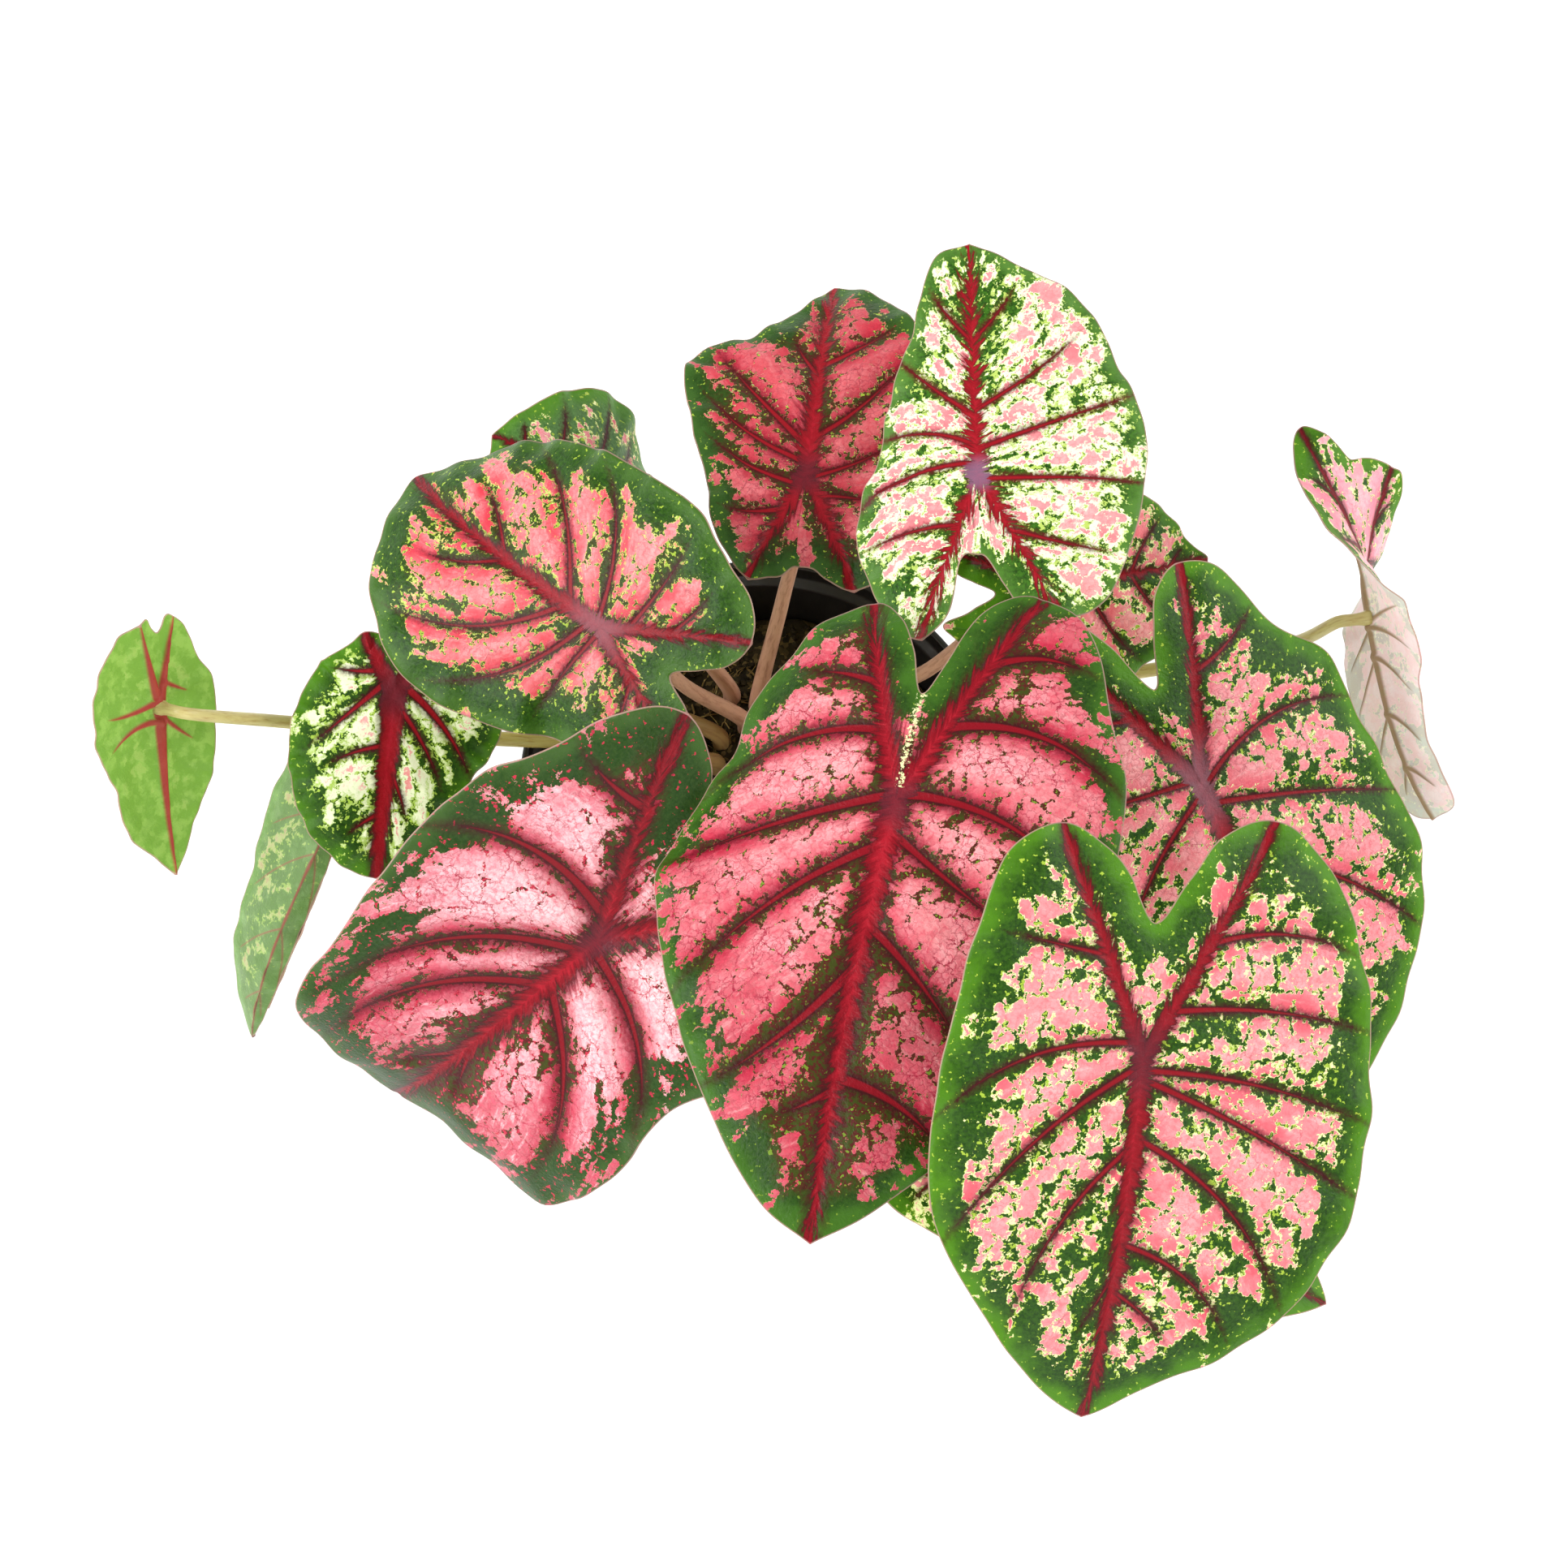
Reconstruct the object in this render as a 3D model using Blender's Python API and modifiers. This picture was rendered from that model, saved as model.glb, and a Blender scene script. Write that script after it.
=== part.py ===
"""A potted caladium: a tapered nursery pot, its soil, and fourteen leaves that each have a
blade and a stem. Lengths are millimetres in the tables below and metres in the model. The
origin is the centre of the pot's underside, +Z is up and +X is to the right of the front."""

import math

import bmesh
import bpy
import numpy as np
from mathutils import Vector

MM = 0.001
GAP = 0.3

# Pot
POT_HEIGHT = 112.0
POT_RIM_RADIUS = 65.0
POT_LIP_HEIGHT = 8.0
POT_LIP_WALL = 1.8
POT_LIP_EDGE = 0.6
POT_SHOULDER_RADIUS = 62.0
POT_FOOT_RADIUS = 48.0
POT_FOOT_BEVEL = 1.8
POT_WALL = 1.3
POT_FLOOR = 2.0
POT_SIDES = 48
DRAIN_COUNT = 6
DRAIN_RADIUS = 4.5
DRAIN_RING = 36.0
CUTTER_SIDES = 12
CUTTER_OVERSHOOT = 2.0

# Soil
SOIL_TOP = 87.0
SOIL_MOUND = 4.0
SOIL_MOUND_SPREAD = 24.0
SOIL_ROUGHNESS = 1.2
SOIL_RINGS = 7
SOIL_CLEARANCE = 0.5
CROWN = (1.0, 22.0)

# Leaves
BLADE_THICKNESS = 0.8
ROWS_PER_KNOT = 2
COLUMNS = 4
DROOP_POWER = 1.6
STEM_TOP_RADIUS = 1.7
STEM_FOOT_RADIUS = 2.6
STEM_TAPER_POWER = 0.6
STEM_DEPTH = 12.0
STEM_UPRIGHT = 2.0
STEM_POINTS = 9
SEAT_GAP = 0.4
SEAT_RUN = 7.0
ROOF_ALLOWANCE = 1.25
HOLE_RADIUS = STEM_FOOT_RADIUS + GAP
HOLE_OVERSHOOT = 12.0

# The margin of half a blade has eleven stretches, between these twelve stations:
# 0 the tip, 1 to 5 the ends of the side veins, 6 and 7 the ends of the veins of the lobe,
# 8 the end of the lobe, 9 and 10 its inner edge, 11 the notch between the two lobes.
STRETCHES = 11

# For each leaf, in millimetres and degrees:
# at: where the stem meets the blade. heading, pitch, roll: where the tip points, how far it
# rises, and how far the blade leans to its right.
# tip, notch: from the stem to the tip and to the notch. half: the width of the left half and
# of the right. lobe: the length of each lobe. spread: how far out each lobe ends, as a share
# of its half's width. swell: how far each station from 1 to 10 stands out from the plain
# outline, for the left half and for the right.
# droop, sag: how far the tip and the lobes bend down. cup: how far the edges turn up. vee:
# how far each half is raised from the midrib. twist, untwist: how far the blade is turned
# about its midrib at the tip and at the lobes.
# foot: where the stem stands in the soil. via: points that the stem passes on its way up.
LEAVES = {
    "front_right": dict(
        at=(90, -126, 270), heading=-96, pitch=-24, roll=-19, tip=91, notch=32,
        half=(60, 49), lobe=(57, 54), spread=(0.48, 0.49),
        swell=((-2, 2, 2, 0, -1, 0, -1, 1, 0, 0), (1, 0, 2, 0, -2, -1, 0, 0, -1, 1)),
        droop=28, sag=12, cup=-10, vee=1, twist=5, untwist=0, foot=(9, 16), via=((50, -50, 190),),
    ),
    "centre": dict(
        at=(33, -57, 256), heading=-103, pitch=5, roll=16, tip=111, notch=30,
        half=(54, 51), lobe=(63, 57), spread=(0.41, 0.39),
        swell=((1, 1, 0, 1, 1, -2, -1, 0, 1, 3), (2, 0, 2, 7, -3, -2, -2, 0, -1, 1)),
        droop=21, sag=12, cup=-13, vee=-2, twist=-15, untwist=0, foot=(3, 20), via=((14, -18, 160),),
    ),
    "front_left": dict(
        at=(-40, -74, 200), heading=-149, pitch=-35, roll=-25, tip=96, notch=36,
        half=(51, 52), lobe=(59, 59), spread=(0.53, 0.55),
        swell=((-1, 13, 3, -7, 0, 0, 0, 0, 0, 0), (1, 8, 0, 0, 1, -1, -1, 0, 0, 1)),
        droop=50, sag=12, cup=6, vee=8, twist=-14, untwist=0, foot=(-4, 12), via=((-18, -26, 140),),
    ),
    "left": dict(
        at=(-41, 9, 204), heading=139, pitch=-14, roll=-32, tip=84, notch=25,
        half=(39, 39), lobe=(41, 40), spread=(0.46, 0.46),
        swell=((1, 5, 6, -1, -8, -1, 0, 0, 0, 1), (0, 3, 1, 0, 1, -1, -1, 0, 0, 0)),
        droop=33, sag=13, cup=-9, vee=1, twist=33, untwist=0, foot=(-4, 24), via=((-20, 21, 130),),
    ),
    "back": dict(
        at=(12, 54, 197), heading=84, pitch=-15, roll=-4, tip=74, notch=29,
        half=(30, 38), lobe=(34, 35), spread=(0.40, 0.41),
        swell=((-3, -2, 9, 1, -5, -4, -4, -1, 1, 2), (2, 1, 0, 0, 0, 0, 0, 0, 0, -1)),
        droop=22, sag=13, cup=1, vee=3, twist=-6, untwist=0, foot=(-1, 30), via=((6, 42, 140),),
    ),
    "back_right": dict(
        at=(55, 41, 227), heading=91, pitch=-7, roll=-9, tip=70, notch=23,
        half=(32, 42), lobe=(42, 43), spread=(0.49, 0.46),
        swell=((3, -6, -8, -7, 0, 2, 1, 2, -2, -8), (0, 2, -1, 1, 0, 0, 0, -1, 0, 0)),
        droop=4, sag=11, cup=-13, vee=-1, twist=-1, untwist=0, foot=(9, 24),
        via=((24, 26, 130), (41, 27, 192)),
    ),
    "right": dict(
        at=(111, -35, 206), heading=-59, pitch=-34, roll=-7, tip=104, notch=28,
        half=(48, 45), lobe=(54, 58), spread=(0.47, 0.46),
        swell=((0, 2, 5, 1, 1, -6, -4, -2, -1, 1), (0, 0, 0, 0, 0, 0, 0, 0, 0, 2)),
        droop=21, sag=10, cup=-12, vee=0, twist=14, untwist=0, foot=(16, 14), via=((56, -6, 140),),
    ),
    "right_behind": dict(
        at=(76, 28, 184), heading=14, pitch=-13, roll=35, tip=48, notch=16,
        half=(26, 28), lobe=(28, 28), spread=(0.47, 0.47),
        swell=((-2, 0, 0, 0, 0, 0, 0, 0, 0, 0), (0, 1, 2, 0, 0, 0, 0, -2, 4, 1)),
        droop=25, sag=13, cup=-11, vee=0, twist=-6, untwist=0, foot=(16, 30), via=((44, 27, 125),),
    ),
    "left_low": dict(
        at=(-95, 5, 167), heading=-97, pitch=-27, roll=-6, tip=52, notch=12,
        half=(27, 24), lobe=(18, 15), spread=(0.47, 0.39),
        swell=((0, 0, -2, 2, 0, 0, 0, 0, 0, 0), (3, 5, 4, 2, -3, -3, -4, 0, 1, 0)),
        droop=26, sag=12, cup=-12, vee=0, twist=-5, untwist=0, foot=(-11, 20), via=((-40, 21, 118),),
    ),
    "left_hanging": dict(
        at=(-113, -5, 112), heading=-121, pitch=-29, roll=-1, tip=89, notch=16,
        half=(6, 27), lobe=(24, 32), spread=(0.47, 0.47),
        swell=((3, 4, 1, -2, -2, 1, 2, 2, 1, 0), (2, 2, -3, 1, 2, 0, 0, 0, 0, 0)),
        droop=55, sag=0, cup=0, vee=-38, twist=-3, untwist=0, foot=(-12, 13),
        via=((-48, 1, 115), (-66, -2, 117), (-90, -5, 110)),
    ),
    "back_left": dict(
        at=(-42, 60, 164), heading=141, pitch=9, roll=46, tip=35, notch=14,
        half=(35, 38), lobe=(24, 24), spread=(0.47, 0.47),
        swell=((0, 0, 0, 0, 0, 0, 0, 0, 0, 0), (-1, 0, 2, 0, -1, 0, 0, 0, 0, 0)),
        droop=23, sag=12, cup=-13, vee=0, twist=-51, untwist=0, foot=(-8, 33), via=((-20, 40, 118),),
    ),
    "far_left": dict(
        at=(-156, 0, 170), heading=-89, pitch=-35, roll=136, tip=45, notch=20,
        half=(22, 16), lobe=(25, 25), spread=(0.30, 0.30),
        swell=((-1, 0, -3, 1, 2, 1, -1, -2, 1, 0), (0, -1, 1, 1, 1, -2, -2, -1, 1, 0)),
        droop=13, sag=10, cup=-18, vee=1, twist=-2, untwist=0, foot=(-19, 20),
        via=((-53, 10, 118), (-86, 7, 130), (-124, 4, 148)),
    ),
    "far_right": dict(
        at=(159, 22, 177), heading=-82, pitch=-13, roll=-102, tip=55, notch=42,
        half=(20, 23), lobe=(43, 52), spread=(0.64, 0.58),
        swell=((2, -1, -2, -1, 1, 0, 0, -3, 2, 2), (4, -6, -6, 1, 1, 0, -2, -1, 1, 1)),
        droop=-24, sag=-4, cup=-14, vee=6, twist=-32, untwist=92, foot=(16, 22),
        via=((62, 24, 119), (104, 23, 137), (138, 21, 160)),
    ),
    "front_hidden": dict(
        at=(71, -136, 200), heading=-18, pitch=-11, roll=-6, tip=79, notch=22,
        half=(34, 25), lobe=(38, 42), spread=(0.47, 0.47),
        swell=((0, 0, 0, 0, 0, 0, 0, 0, 0, 0), (0, 0, 0, 0, 0, 0, 0, 0, 0, 0)),
        droop=22, sag=12, cup=-12, vee=0, twist=0, untwist=0, foot=(5, 8), via=((30, -50, 130),),
    ),
}


def clear_scene():
    for item in list(bpy.data.objects):
        bpy.data.objects.remove(item, do_unlink=True)


def principled(name, colour, roughness, metallic=0.0):
    """A plain material in an sRGB colour."""
    material = bpy.data.materials.new(name)
    material.use_nodes = True
    shader = material.node_tree.nodes["Principled BSDF"]
    linear = [(c / 12.92 if c <= 0.04045 else ((c + 0.055) / 1.055) ** 2.4) for c in colour]
    shader.inputs["Base Color"].default_value = (*linear, 1.0)
    shader.inputs["Roughness"].default_value = roughness
    shader.inputs["Metallic"].default_value = metallic
    return material


def add_object(name, data, material, collection):
    item = bpy.data.objects.new(name, data)
    data.materials.append(material)
    collection.objects.link(item)
    return item


def turned(name, profile, sides, material, collection):
    """A profile of (radius, height) in millimetres, outer side first and downwards, turned round Z."""
    mesh = bpy.data.meshes.new(name)
    points = [(radius * MM, 0.0, height * MM) for radius, height in profile]
    edges = [(i, i + 1) for i in range(len(points) - 1)]
    mesh.from_pydata(points, edges, [])
    item = add_object(name, mesh, material, collection)
    screw = item.modifiers.new("turn", "SCREW")
    screw.axis = "Z"
    screw.steps = sides
    screw.render_steps = sides
    screw.use_merge_vertices = True
    screw.merge_threshold = 0.00005
    screw.use_smooth_shade = True
    return item


def cutter_cylinder(name, radius, low, high, x, y, collection):
    """A wire cylinder from height low to height high, in millimetres."""
    mesh = bpy.data.meshes.new(name)
    form = bmesh.new()
    bmesh.ops.create_cone(
        form,
        cap_ends=True,
        segments=CUTTER_SIDES,
        radius1=radius * MM,
        radius2=radius * MM,
        depth=(high - low) * MM,
    )
    form.to_mesh(mesh)
    form.free()
    item = bpy.data.objects.new(name, mesh)
    item.location = Vector((x, y, (low + high) / 2)) * MM
    item.hide_render = True
    item.display_type = "WIRE"
    collection.objects.link(item)
    return item


def cut_with(item, cutters):
    """Subtracts the union of a collection of cutters."""
    cut = item.modifiers.new("holes", "BOOLEAN")
    cut.operation = "DIFFERENCE"
    cut.solver = "EXACT"
    cut.operand_type = "COLLECTION"
    cut.collection = cutters


def pot_radius_inside(height):
    """The inner radius of the pot's wall at a height below the lip."""
    share = height / (POT_HEIGHT - POT_LIP_HEIGHT)
    outer = POT_FOOT_RADIUS + (POT_SHOULDER_RADIUS - POT_FOOT_RADIUS) * share
    return outer - POT_WALL


def make_pot(parts, cutters):
    lip_foot = POT_HEIGHT - POT_LIP_HEIGHT
    inner = POT_RIM_RADIUS - POT_LIP_WALL
    outside = [
        (inner + POT_LIP_EDGE, POT_HEIGHT),
        (POT_RIM_RADIUS - POT_LIP_EDGE, POT_HEIGHT),
        (POT_RIM_RADIUS, POT_HEIGHT - POT_LIP_EDGE),
        (POT_RIM_RADIUS, lip_foot + POT_LIP_EDGE),
        (POT_RIM_RADIUS - POT_LIP_EDGE, lip_foot),
        (POT_SHOULDER_RADIUS, lip_foot),
        (POT_FOOT_RADIUS, POT_FOOT_BEVEL),
        (POT_FOOT_RADIUS - POT_FOOT_BEVEL, 0.0),
        (0.0, 0.0),
    ]
    inside = [
        (0.0, POT_FLOOR),
        (pot_radius_inside(POT_FLOOR), POT_FLOOR),
        (pot_radius_inside(lip_foot), lip_foot),
        (inner, lip_foot + POT_LIP_WALL),
        (inner, POT_HEIGHT - POT_LIP_EDGE),
        (inner + POT_LIP_EDGE, POT_HEIGHT),
    ]
    plastic = principled("black polypropylene", (0.04, 0.04, 0.05), 0.45)
    pot = turned("pot", outside + inside, POT_SIDES, plastic, parts)
    for i in range(DRAIN_COUNT):
        angle = 2 * math.pi * (i + 0.5) / DRAIN_COUNT
        x, y = DRAIN_RING * math.cos(angle), DRAIN_RING * math.sin(angle)
        cutter_cylinder(
            f"drain_{i}", DRAIN_RADIUS, -CUTTER_OVERSHOOT, POT_FLOOR + CUTTER_OVERSHOOT, x, y, cutters
        )
    cut_with(pot, cutters)


def soil_height(x, y):
    """The height of the soil's surface: a low mound round the crown, with lumps from two crossed waves."""
    away = math.hypot(x - CROWN[0], y - CROWN[1])
    mound = SOIL_MOUND * math.exp(-((away / SOIL_MOUND_SPREAD) ** 2))
    lumps = math.sin(x * 0.31 + 1.3) * math.cos(y * 0.27) + 0.6 * math.sin(x * 0.13 - y * 0.47)
    return SOIL_TOP + mound + SOIL_ROUGHNESS * lumps * min(1.0, away / SOIL_MOUND_SPREAD)


def make_soil(parts, cutters):
    """A plug that fills the pot to the soil's surface: its top is a ring grid that the waves lift."""
    form = bmesh.new()
    floor_height = POT_FLOOR + GAP
    edge = pot_radius_inside(SOIL_TOP) - SOIL_CLEARANCE
    foot = pot_radius_inside(floor_height) - SOIL_CLEARANCE
    angles = [2 * math.pi * i / POT_SIDES for i in range(POT_SIDES)]
    rings = []
    for ring in range(1, SOIL_RINGS + 1):
        radius = edge * ring / SOIL_RINGS
        row = []
        for angle in angles:
            x, y = radius * math.cos(angle), radius * math.sin(angle)
            height = SOIL_TOP if ring == SOIL_RINGS else soil_height(x, y)
            row.append(form.verts.new((x * MM, y * MM, height * MM)))
        rings.append(row)
    low = []
    for angle in angles:
        corner = Vector((foot * math.cos(angle), foot * math.sin(angle), floor_height))
        low.append(form.verts.new(corner * MM))
    middle = form.verts.new((0.0, 0.0, soil_height(0.0, 0.0) * MM))
    under = form.verts.new((0.0, 0.0, floor_height * MM))
    for i in range(POT_SIDES):
        j = (i + 1) % POT_SIDES
        form.faces.new((middle, rings[0][i], rings[0][j]))
        form.faces.new((under, low[j], low[i]))
        form.faces.new((rings[-1][j], rings[-1][i], low[i], low[j]))
        for inner, outer in zip(rings, rings[1:]):
            form.faces.new((inner[i], outer[i], outer[j], inner[j]))
    bmesh.ops.triangulate(form, faces=form.faces[:])
    bmesh.ops.recalc_face_normals(form, faces=form.faces[:])
    mesh = bpy.data.meshes.new("soil")
    form.to_mesh(mesh)
    form.free()
    soil = add_object("soil", mesh, principled("peat soil", (0.23, 0.16, 0.10), 0.95), parts)
    cut_with(soil, cutters)


def side_of(leaf, side):
    """The four sizes of one half, 1 for left and -1 for right: width, lobe, spread, swell."""
    i = 0 if side > 0 else 1
    return leaf["half"][i], leaf["lobe"][i], leaf["spread"][i], leaf["swell"][i]


def stations(leaf, side):
    """The margin's twelve stations, and for each the point on the midrib or the lobe's vein
    that it hangs from."""
    width, lobe, spread, swell = side_of(leaf, side)
    tip, notch = leaf["tip"], leaf["notch"]
    margin = np.array([
        (tip, 0.0),
        (0.90 * tip, 0.26 * width),
        (0.70 * tip, 0.63 * width),
        (0.44 * tip, 0.90 * width),
        (0.17 * tip, 1.00 * width),
        (-0.10 * tip, 0.99 * width),
        (-0.50 * lobe, 0.90 * width),
        (-0.86 * lobe, (0.50 + 0.50 * spread) * width),
        (-1.00 * lobe, spread * width),
        (-0.93 * lobe, 0.55 * spread * width),
        (-0.45 * notch - 0.50 * lobe, 0.28 * spread * width),
        (-notch, 0.0),
    ])
    lobe_vein = np.array([-0.80 * lobe, 0.82 * spread * width])
    along_midrib = [(share * tip, 0.0) for share in (0.94, 0.72, 0.46, 0.22, 0.05, 0.0)]
    along_lobe = [share * lobe_vein for share in (0.42, 0.74, 1.0, 0.74, 0.42, 0.0)]
    spine = np.array(along_midrib + along_lobe)
    out = margin[1:-1] - spine[1:-1]
    margin[1:-1] += out / np.linalg.norm(out, axis=1, keepdims=True) * np.array(swell)[:, None]
    return margin, spine


def smooth_through(points, place, first, last):
    """A cubic curve through the points, read at each place, with its two end slopes given."""
    slope = np.zeros_like(points)
    slope[1:-1] = (points[2:] - points[:-2]) / 2
    slope[0], slope[-1] = first, last
    i = np.clip(np.floor(place).astype(int), 0, len(points) - 2)
    u = (place - i)[:, None]
    return (
        points[i] * (2 * u**3 - 3 * u**2 + 1)
        + slope[i] * (u**3 - 2 * u**2 + u)
        + points[i + 1] * (3 * u**2 - 2 * u**3)
        + slope[i + 1] * (u**3 - u**2)
    )


def flat_half(leaf, side):
    """Half of the blade laid flat: a row of points from the spine to the margin at each place."""
    margin, spine = stations(leaf, side)
    place = np.linspace(0, STRETCHES, STRETCHES * ROWS_PER_KNOT + 1)
    knots = np.arange(STRETCHES + 1)
    edge = smooth_through(margin, place, margin[1] - margin[0], (0.0, -margin[-2, 1]))
    root = np.stack([np.interp(place, knots, spine[:, 0]), np.interp(place, knots, spine[:, 1])], -1)
    bow = np.interp(place, (0, 1, 5, 8, STRETCHES), (0, -0.07, -0.05, 0, 0))
    middle = (edge + root) / 2
    middle[:, 0] += bow * np.linalg.norm(edge - root, axis=1)
    t = np.linspace(0, 1, COLUMNS + 1)[None, :, None]
    rows = root[:, None] * (1 - t) ** 2 + 2 * middle[:, None] * t * (1 - t) + edge[:, None] * t**2
    return rows, place


def drooped(share, length, degrees):
    """A line that bends down more and more: how far along it reaches, how far down, and its slope."""
    steps = np.linspace(0, 1.4, 141)
    slope = math.radians(degrees) * steps**DROOP_POWER
    middle = (slope[1:] + slope[:-1]) / 2
    along = np.concatenate([[0], np.cumsum(np.cos(middle) * np.diff(steps))]) * length
    down = np.concatenate([[0], np.cumsum(np.sin(middle) * np.diff(steps))]) * length
    reached = np.interp(share, steps, along)
    fallen = np.interp(share, steps, down)
    return reached, fallen, math.radians(degrees) * share**DROOP_POWER


def bent(leaf, flat, side, place):
    """The flat points of one half, bent to the leaf's form, in the leaf's own axes."""
    x, y = flat[..., 0], flat[..., 1]
    width = side_of(leaf, side)[0]
    curl = math.radians(leaf["cup"]) * y / width
    curl = np.where(np.abs(curl) < 1e-6, 1e-6, curl)
    out = y * np.sin(curl) / curl
    up = y * (1 - np.cos(curl)) / curl
    raised = math.radians(leaf["vee"])
    out, up = out * math.cos(raised) - up * math.sin(raised), up * math.cos(raised) + out * math.sin(raised)
    out = out * side
    fore = np.clip(x / leaf["tip"], 0, None)
    lobe = sum(leaf["lobe"]) / 2
    back = np.clip(-x / lobe, 0, None)
    turn = np.radians(leaf["twist"] * fore + leaf["untwist"] * back)
    out, up = out * np.cos(turn) - up * np.sin(turn), out * np.sin(turn) + up * np.cos(turn)
    fore_along, fore_down, fore_slope = drooped(fore, leaf["tip"], leaf["droop"])
    back_along, back_down, back_slope = drooped(back, lobe, leaf["sag"])
    ahead = x >= 0
    slope = np.where(ahead, fore_slope, -back_slope)
    along = np.where(ahead, fore_along, -back_along) + up * np.sin(slope)
    height = up * np.cos(slope) - np.where(ahead, fore_down, back_down)
    return np.stack([along, out, height], -1)


def axes_of(leaf):
    """The leaf's own axes: towards the tip, to its left, and out of its upper face."""
    heading, pitch, roll = (math.radians(leaf[key]) for key in ("heading", "pitch", "roll"))
    level_ahead = np.array([math.cos(heading), math.sin(heading), 0.0])
    ahead = level_ahead * math.cos(pitch) + np.array([0.0, 0.0, math.sin(pitch)])
    level = np.array([-math.sin(heading), math.cos(heading), 0.0])
    above = np.cross(ahead, level)
    left = level * math.cos(roll) + above * math.sin(roll)
    return ahead, left, above * math.cos(roll) - level * math.sin(roll)


def blade_surface(leaf):
    """Points and triangles of the blade's upper face, in millimetres. The halves share the
    midrib and the notch, and the two sides of a lobe share its vein."""
    axes = np.stack(axes_of(leaf))
    points, numbers, triangles = [], {}, []

    def number_of(flat, placed):
        key = tuple(np.round(flat, 3))
        if key not in numbers:
            numbers[key] = len(points)
            points.append(placed)
        return numbers[key]

    for side in (1, -1):
        flat, place = flat_half(leaf, side)
        local = bent(leaf, flat, side, place)
        placed = np.array(leaf["at"], float) + local @ axes
        signed = flat * np.array([1, side]) + 0.0
        grid = []
        for i in range(len(place)):
            grid.append([number_of(signed[i, j], placed[i, j]) for j in range(COLUMNS + 1)])
        for i in range(len(place) - 1):
            for j in range(COLUMNS):
                a, b, c, d = grid[i][j], grid[i][j + 1], grid[i + 1][j + 1], grid[i + 1][j]
                for corners in ((a, b, c), (a, c, d)):
                    if len(set(corners)) == 3:
                        triangles.append(corners if side > 0 else corners[::-1])
    return np.array(points), triangles


def corner_normals(points, triangles):
    """The direction of the surface at each point, with each triangle counted by its angle there."""
    normals = np.zeros_like(points)
    for corners in triangles:
        for i, corner in enumerate(corners):
            ahead = points[corners[(i + 1) % 3]] - points[corner]
            behind = points[corners[(i + 2) % 3]] - points[corner]
            normal = np.cross(ahead, behind)
            size = np.linalg.norm(normal)
            normals[corner] += normal / size * math.atan2(size, ahead @ behind)
    return normals / np.linalg.norm(normals, axis=1, keepdims=True)


def blade_mesh(name, leaf):
    """A closed blade and the direction its upper face looks at the stem. It has the upper face,
    the same triangles again underneath, and a wall round the margin."""
    points, triangles = blade_surface(leaf)
    normals = corner_normals(points, triangles)
    if np.mean(normals @ axes_of(leaf)[2]) < 0:
        triangles = [corners[::-1] for corners in triangles]
        normals = -normals
    below = points - normals * BLADE_THICKNESS
    count = len(points)
    faces = list(triangles)
    faces += [(c + count, b + count, a + count) for a, b, c in triangles]
    edges = {edge for corners in triangles for edge in zip(corners, corners[1:] + corners[:1])}
    for a, b in sorted(edges):
        if (b, a) not in edges:
            faces += [(b, a, a + count), (b, a + count, b + count)]
    mesh = bpy.data.meshes.new(name)
    mesh.from_pydata([tuple(p * MM) for p in np.concatenate([points, below])], [], faces)
    mesh.validate()
    mesh.shade_smooth()
    seat = np.argmin(np.linalg.norm(points - np.array(leaf["at"], float), axis=1))
    return mesh, normals[seat]


def stem_path(leaf, normal):
    """Points along the stem, upright in its hole and then bending to its seat under the blade."""
    x, y = leaf["foot"]
    surface = soil_height(x, y)
    roof = math.radians(ROOF_ALLOWANCE * max(0.0, -leaf["vee"]))
    hollow = STEM_TOP_RADIUS * math.tan(roof)
    seat = np.array(leaf["at"], float) - normal * (BLADE_THICKNESS + SEAT_GAP + hollow)
    lean = np.array((x, y, surface + STEM_UPRIGHT))
    route = np.array([lean, *leaf["via"], seat - normal * SEAT_RUN], float)
    run = np.concatenate([[0], np.cumsum(np.linalg.norm(np.diff(route, axis=0), axis=1) ** 0.5)])
    place = np.interp(np.linspace(0, run[-1], STEM_POINTS), run, np.arange(len(route)))
    rise = np.array((0, 0, 0.6 * np.linalg.norm(route[1] - route[0])))
    path = smooth_through(route, place, rise, normal * 0.5 * np.linalg.norm(route[-1] - route[-2]))
    return np.concatenate([[(x, y, surface - STEM_DEPTH + GAP)], path, [seat]])


def make_stem(name, leaf, normal, material, collection):
    """The stem tapers from its foot to the blade."""
    path = stem_path(leaf, normal)
    data = bpy.data.curves.new(name, "CURVE")
    data.dimensions = "3D"
    data.bevel_depth = STEM_FOOT_RADIUS * MM
    data.bevel_resolution = 2
    data.use_fill_caps = True
    spline = data.splines.new("POLY")
    spline.points.add(len(path) - 1)
    for i, point in enumerate(path):
        spline.points[i].co = (*(point * MM), 1.0)
        share = (i / (len(path) - 1)) ** STEM_TAPER_POWER
        thickness = STEM_FOOT_RADIUS + (STEM_TOP_RADIUS - STEM_FOOT_RADIUS) * share
        spline.points[i].radius = thickness / STEM_FOOT_RADIUS
    return add_object(name, data, material, collection)


def make_leaves(parts, holes):
    green = principled("caladium leaf", (0.62, 0.26, 0.28), 0.40)
    stalk = principled("caladium stem", (0.63, 0.49, 0.33), 0.50)
    for place, leaf in LEAVES.items():
        blade, normal = blade_mesh(f"leaf_{place}", leaf)
        add_object(f"leaf_{place}", blade, green, parts)
        make_stem(f"stem_{place}", leaf, normal, stalk, parts)
        x, y = leaf["foot"]
        surface = soil_height(x, y)
        high = surface + HOLE_OVERSHOOT
        cutter_cylinder(f"hole_{place}", HOLE_RADIUS, surface - STEM_DEPTH, high, x, y, holes)


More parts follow.
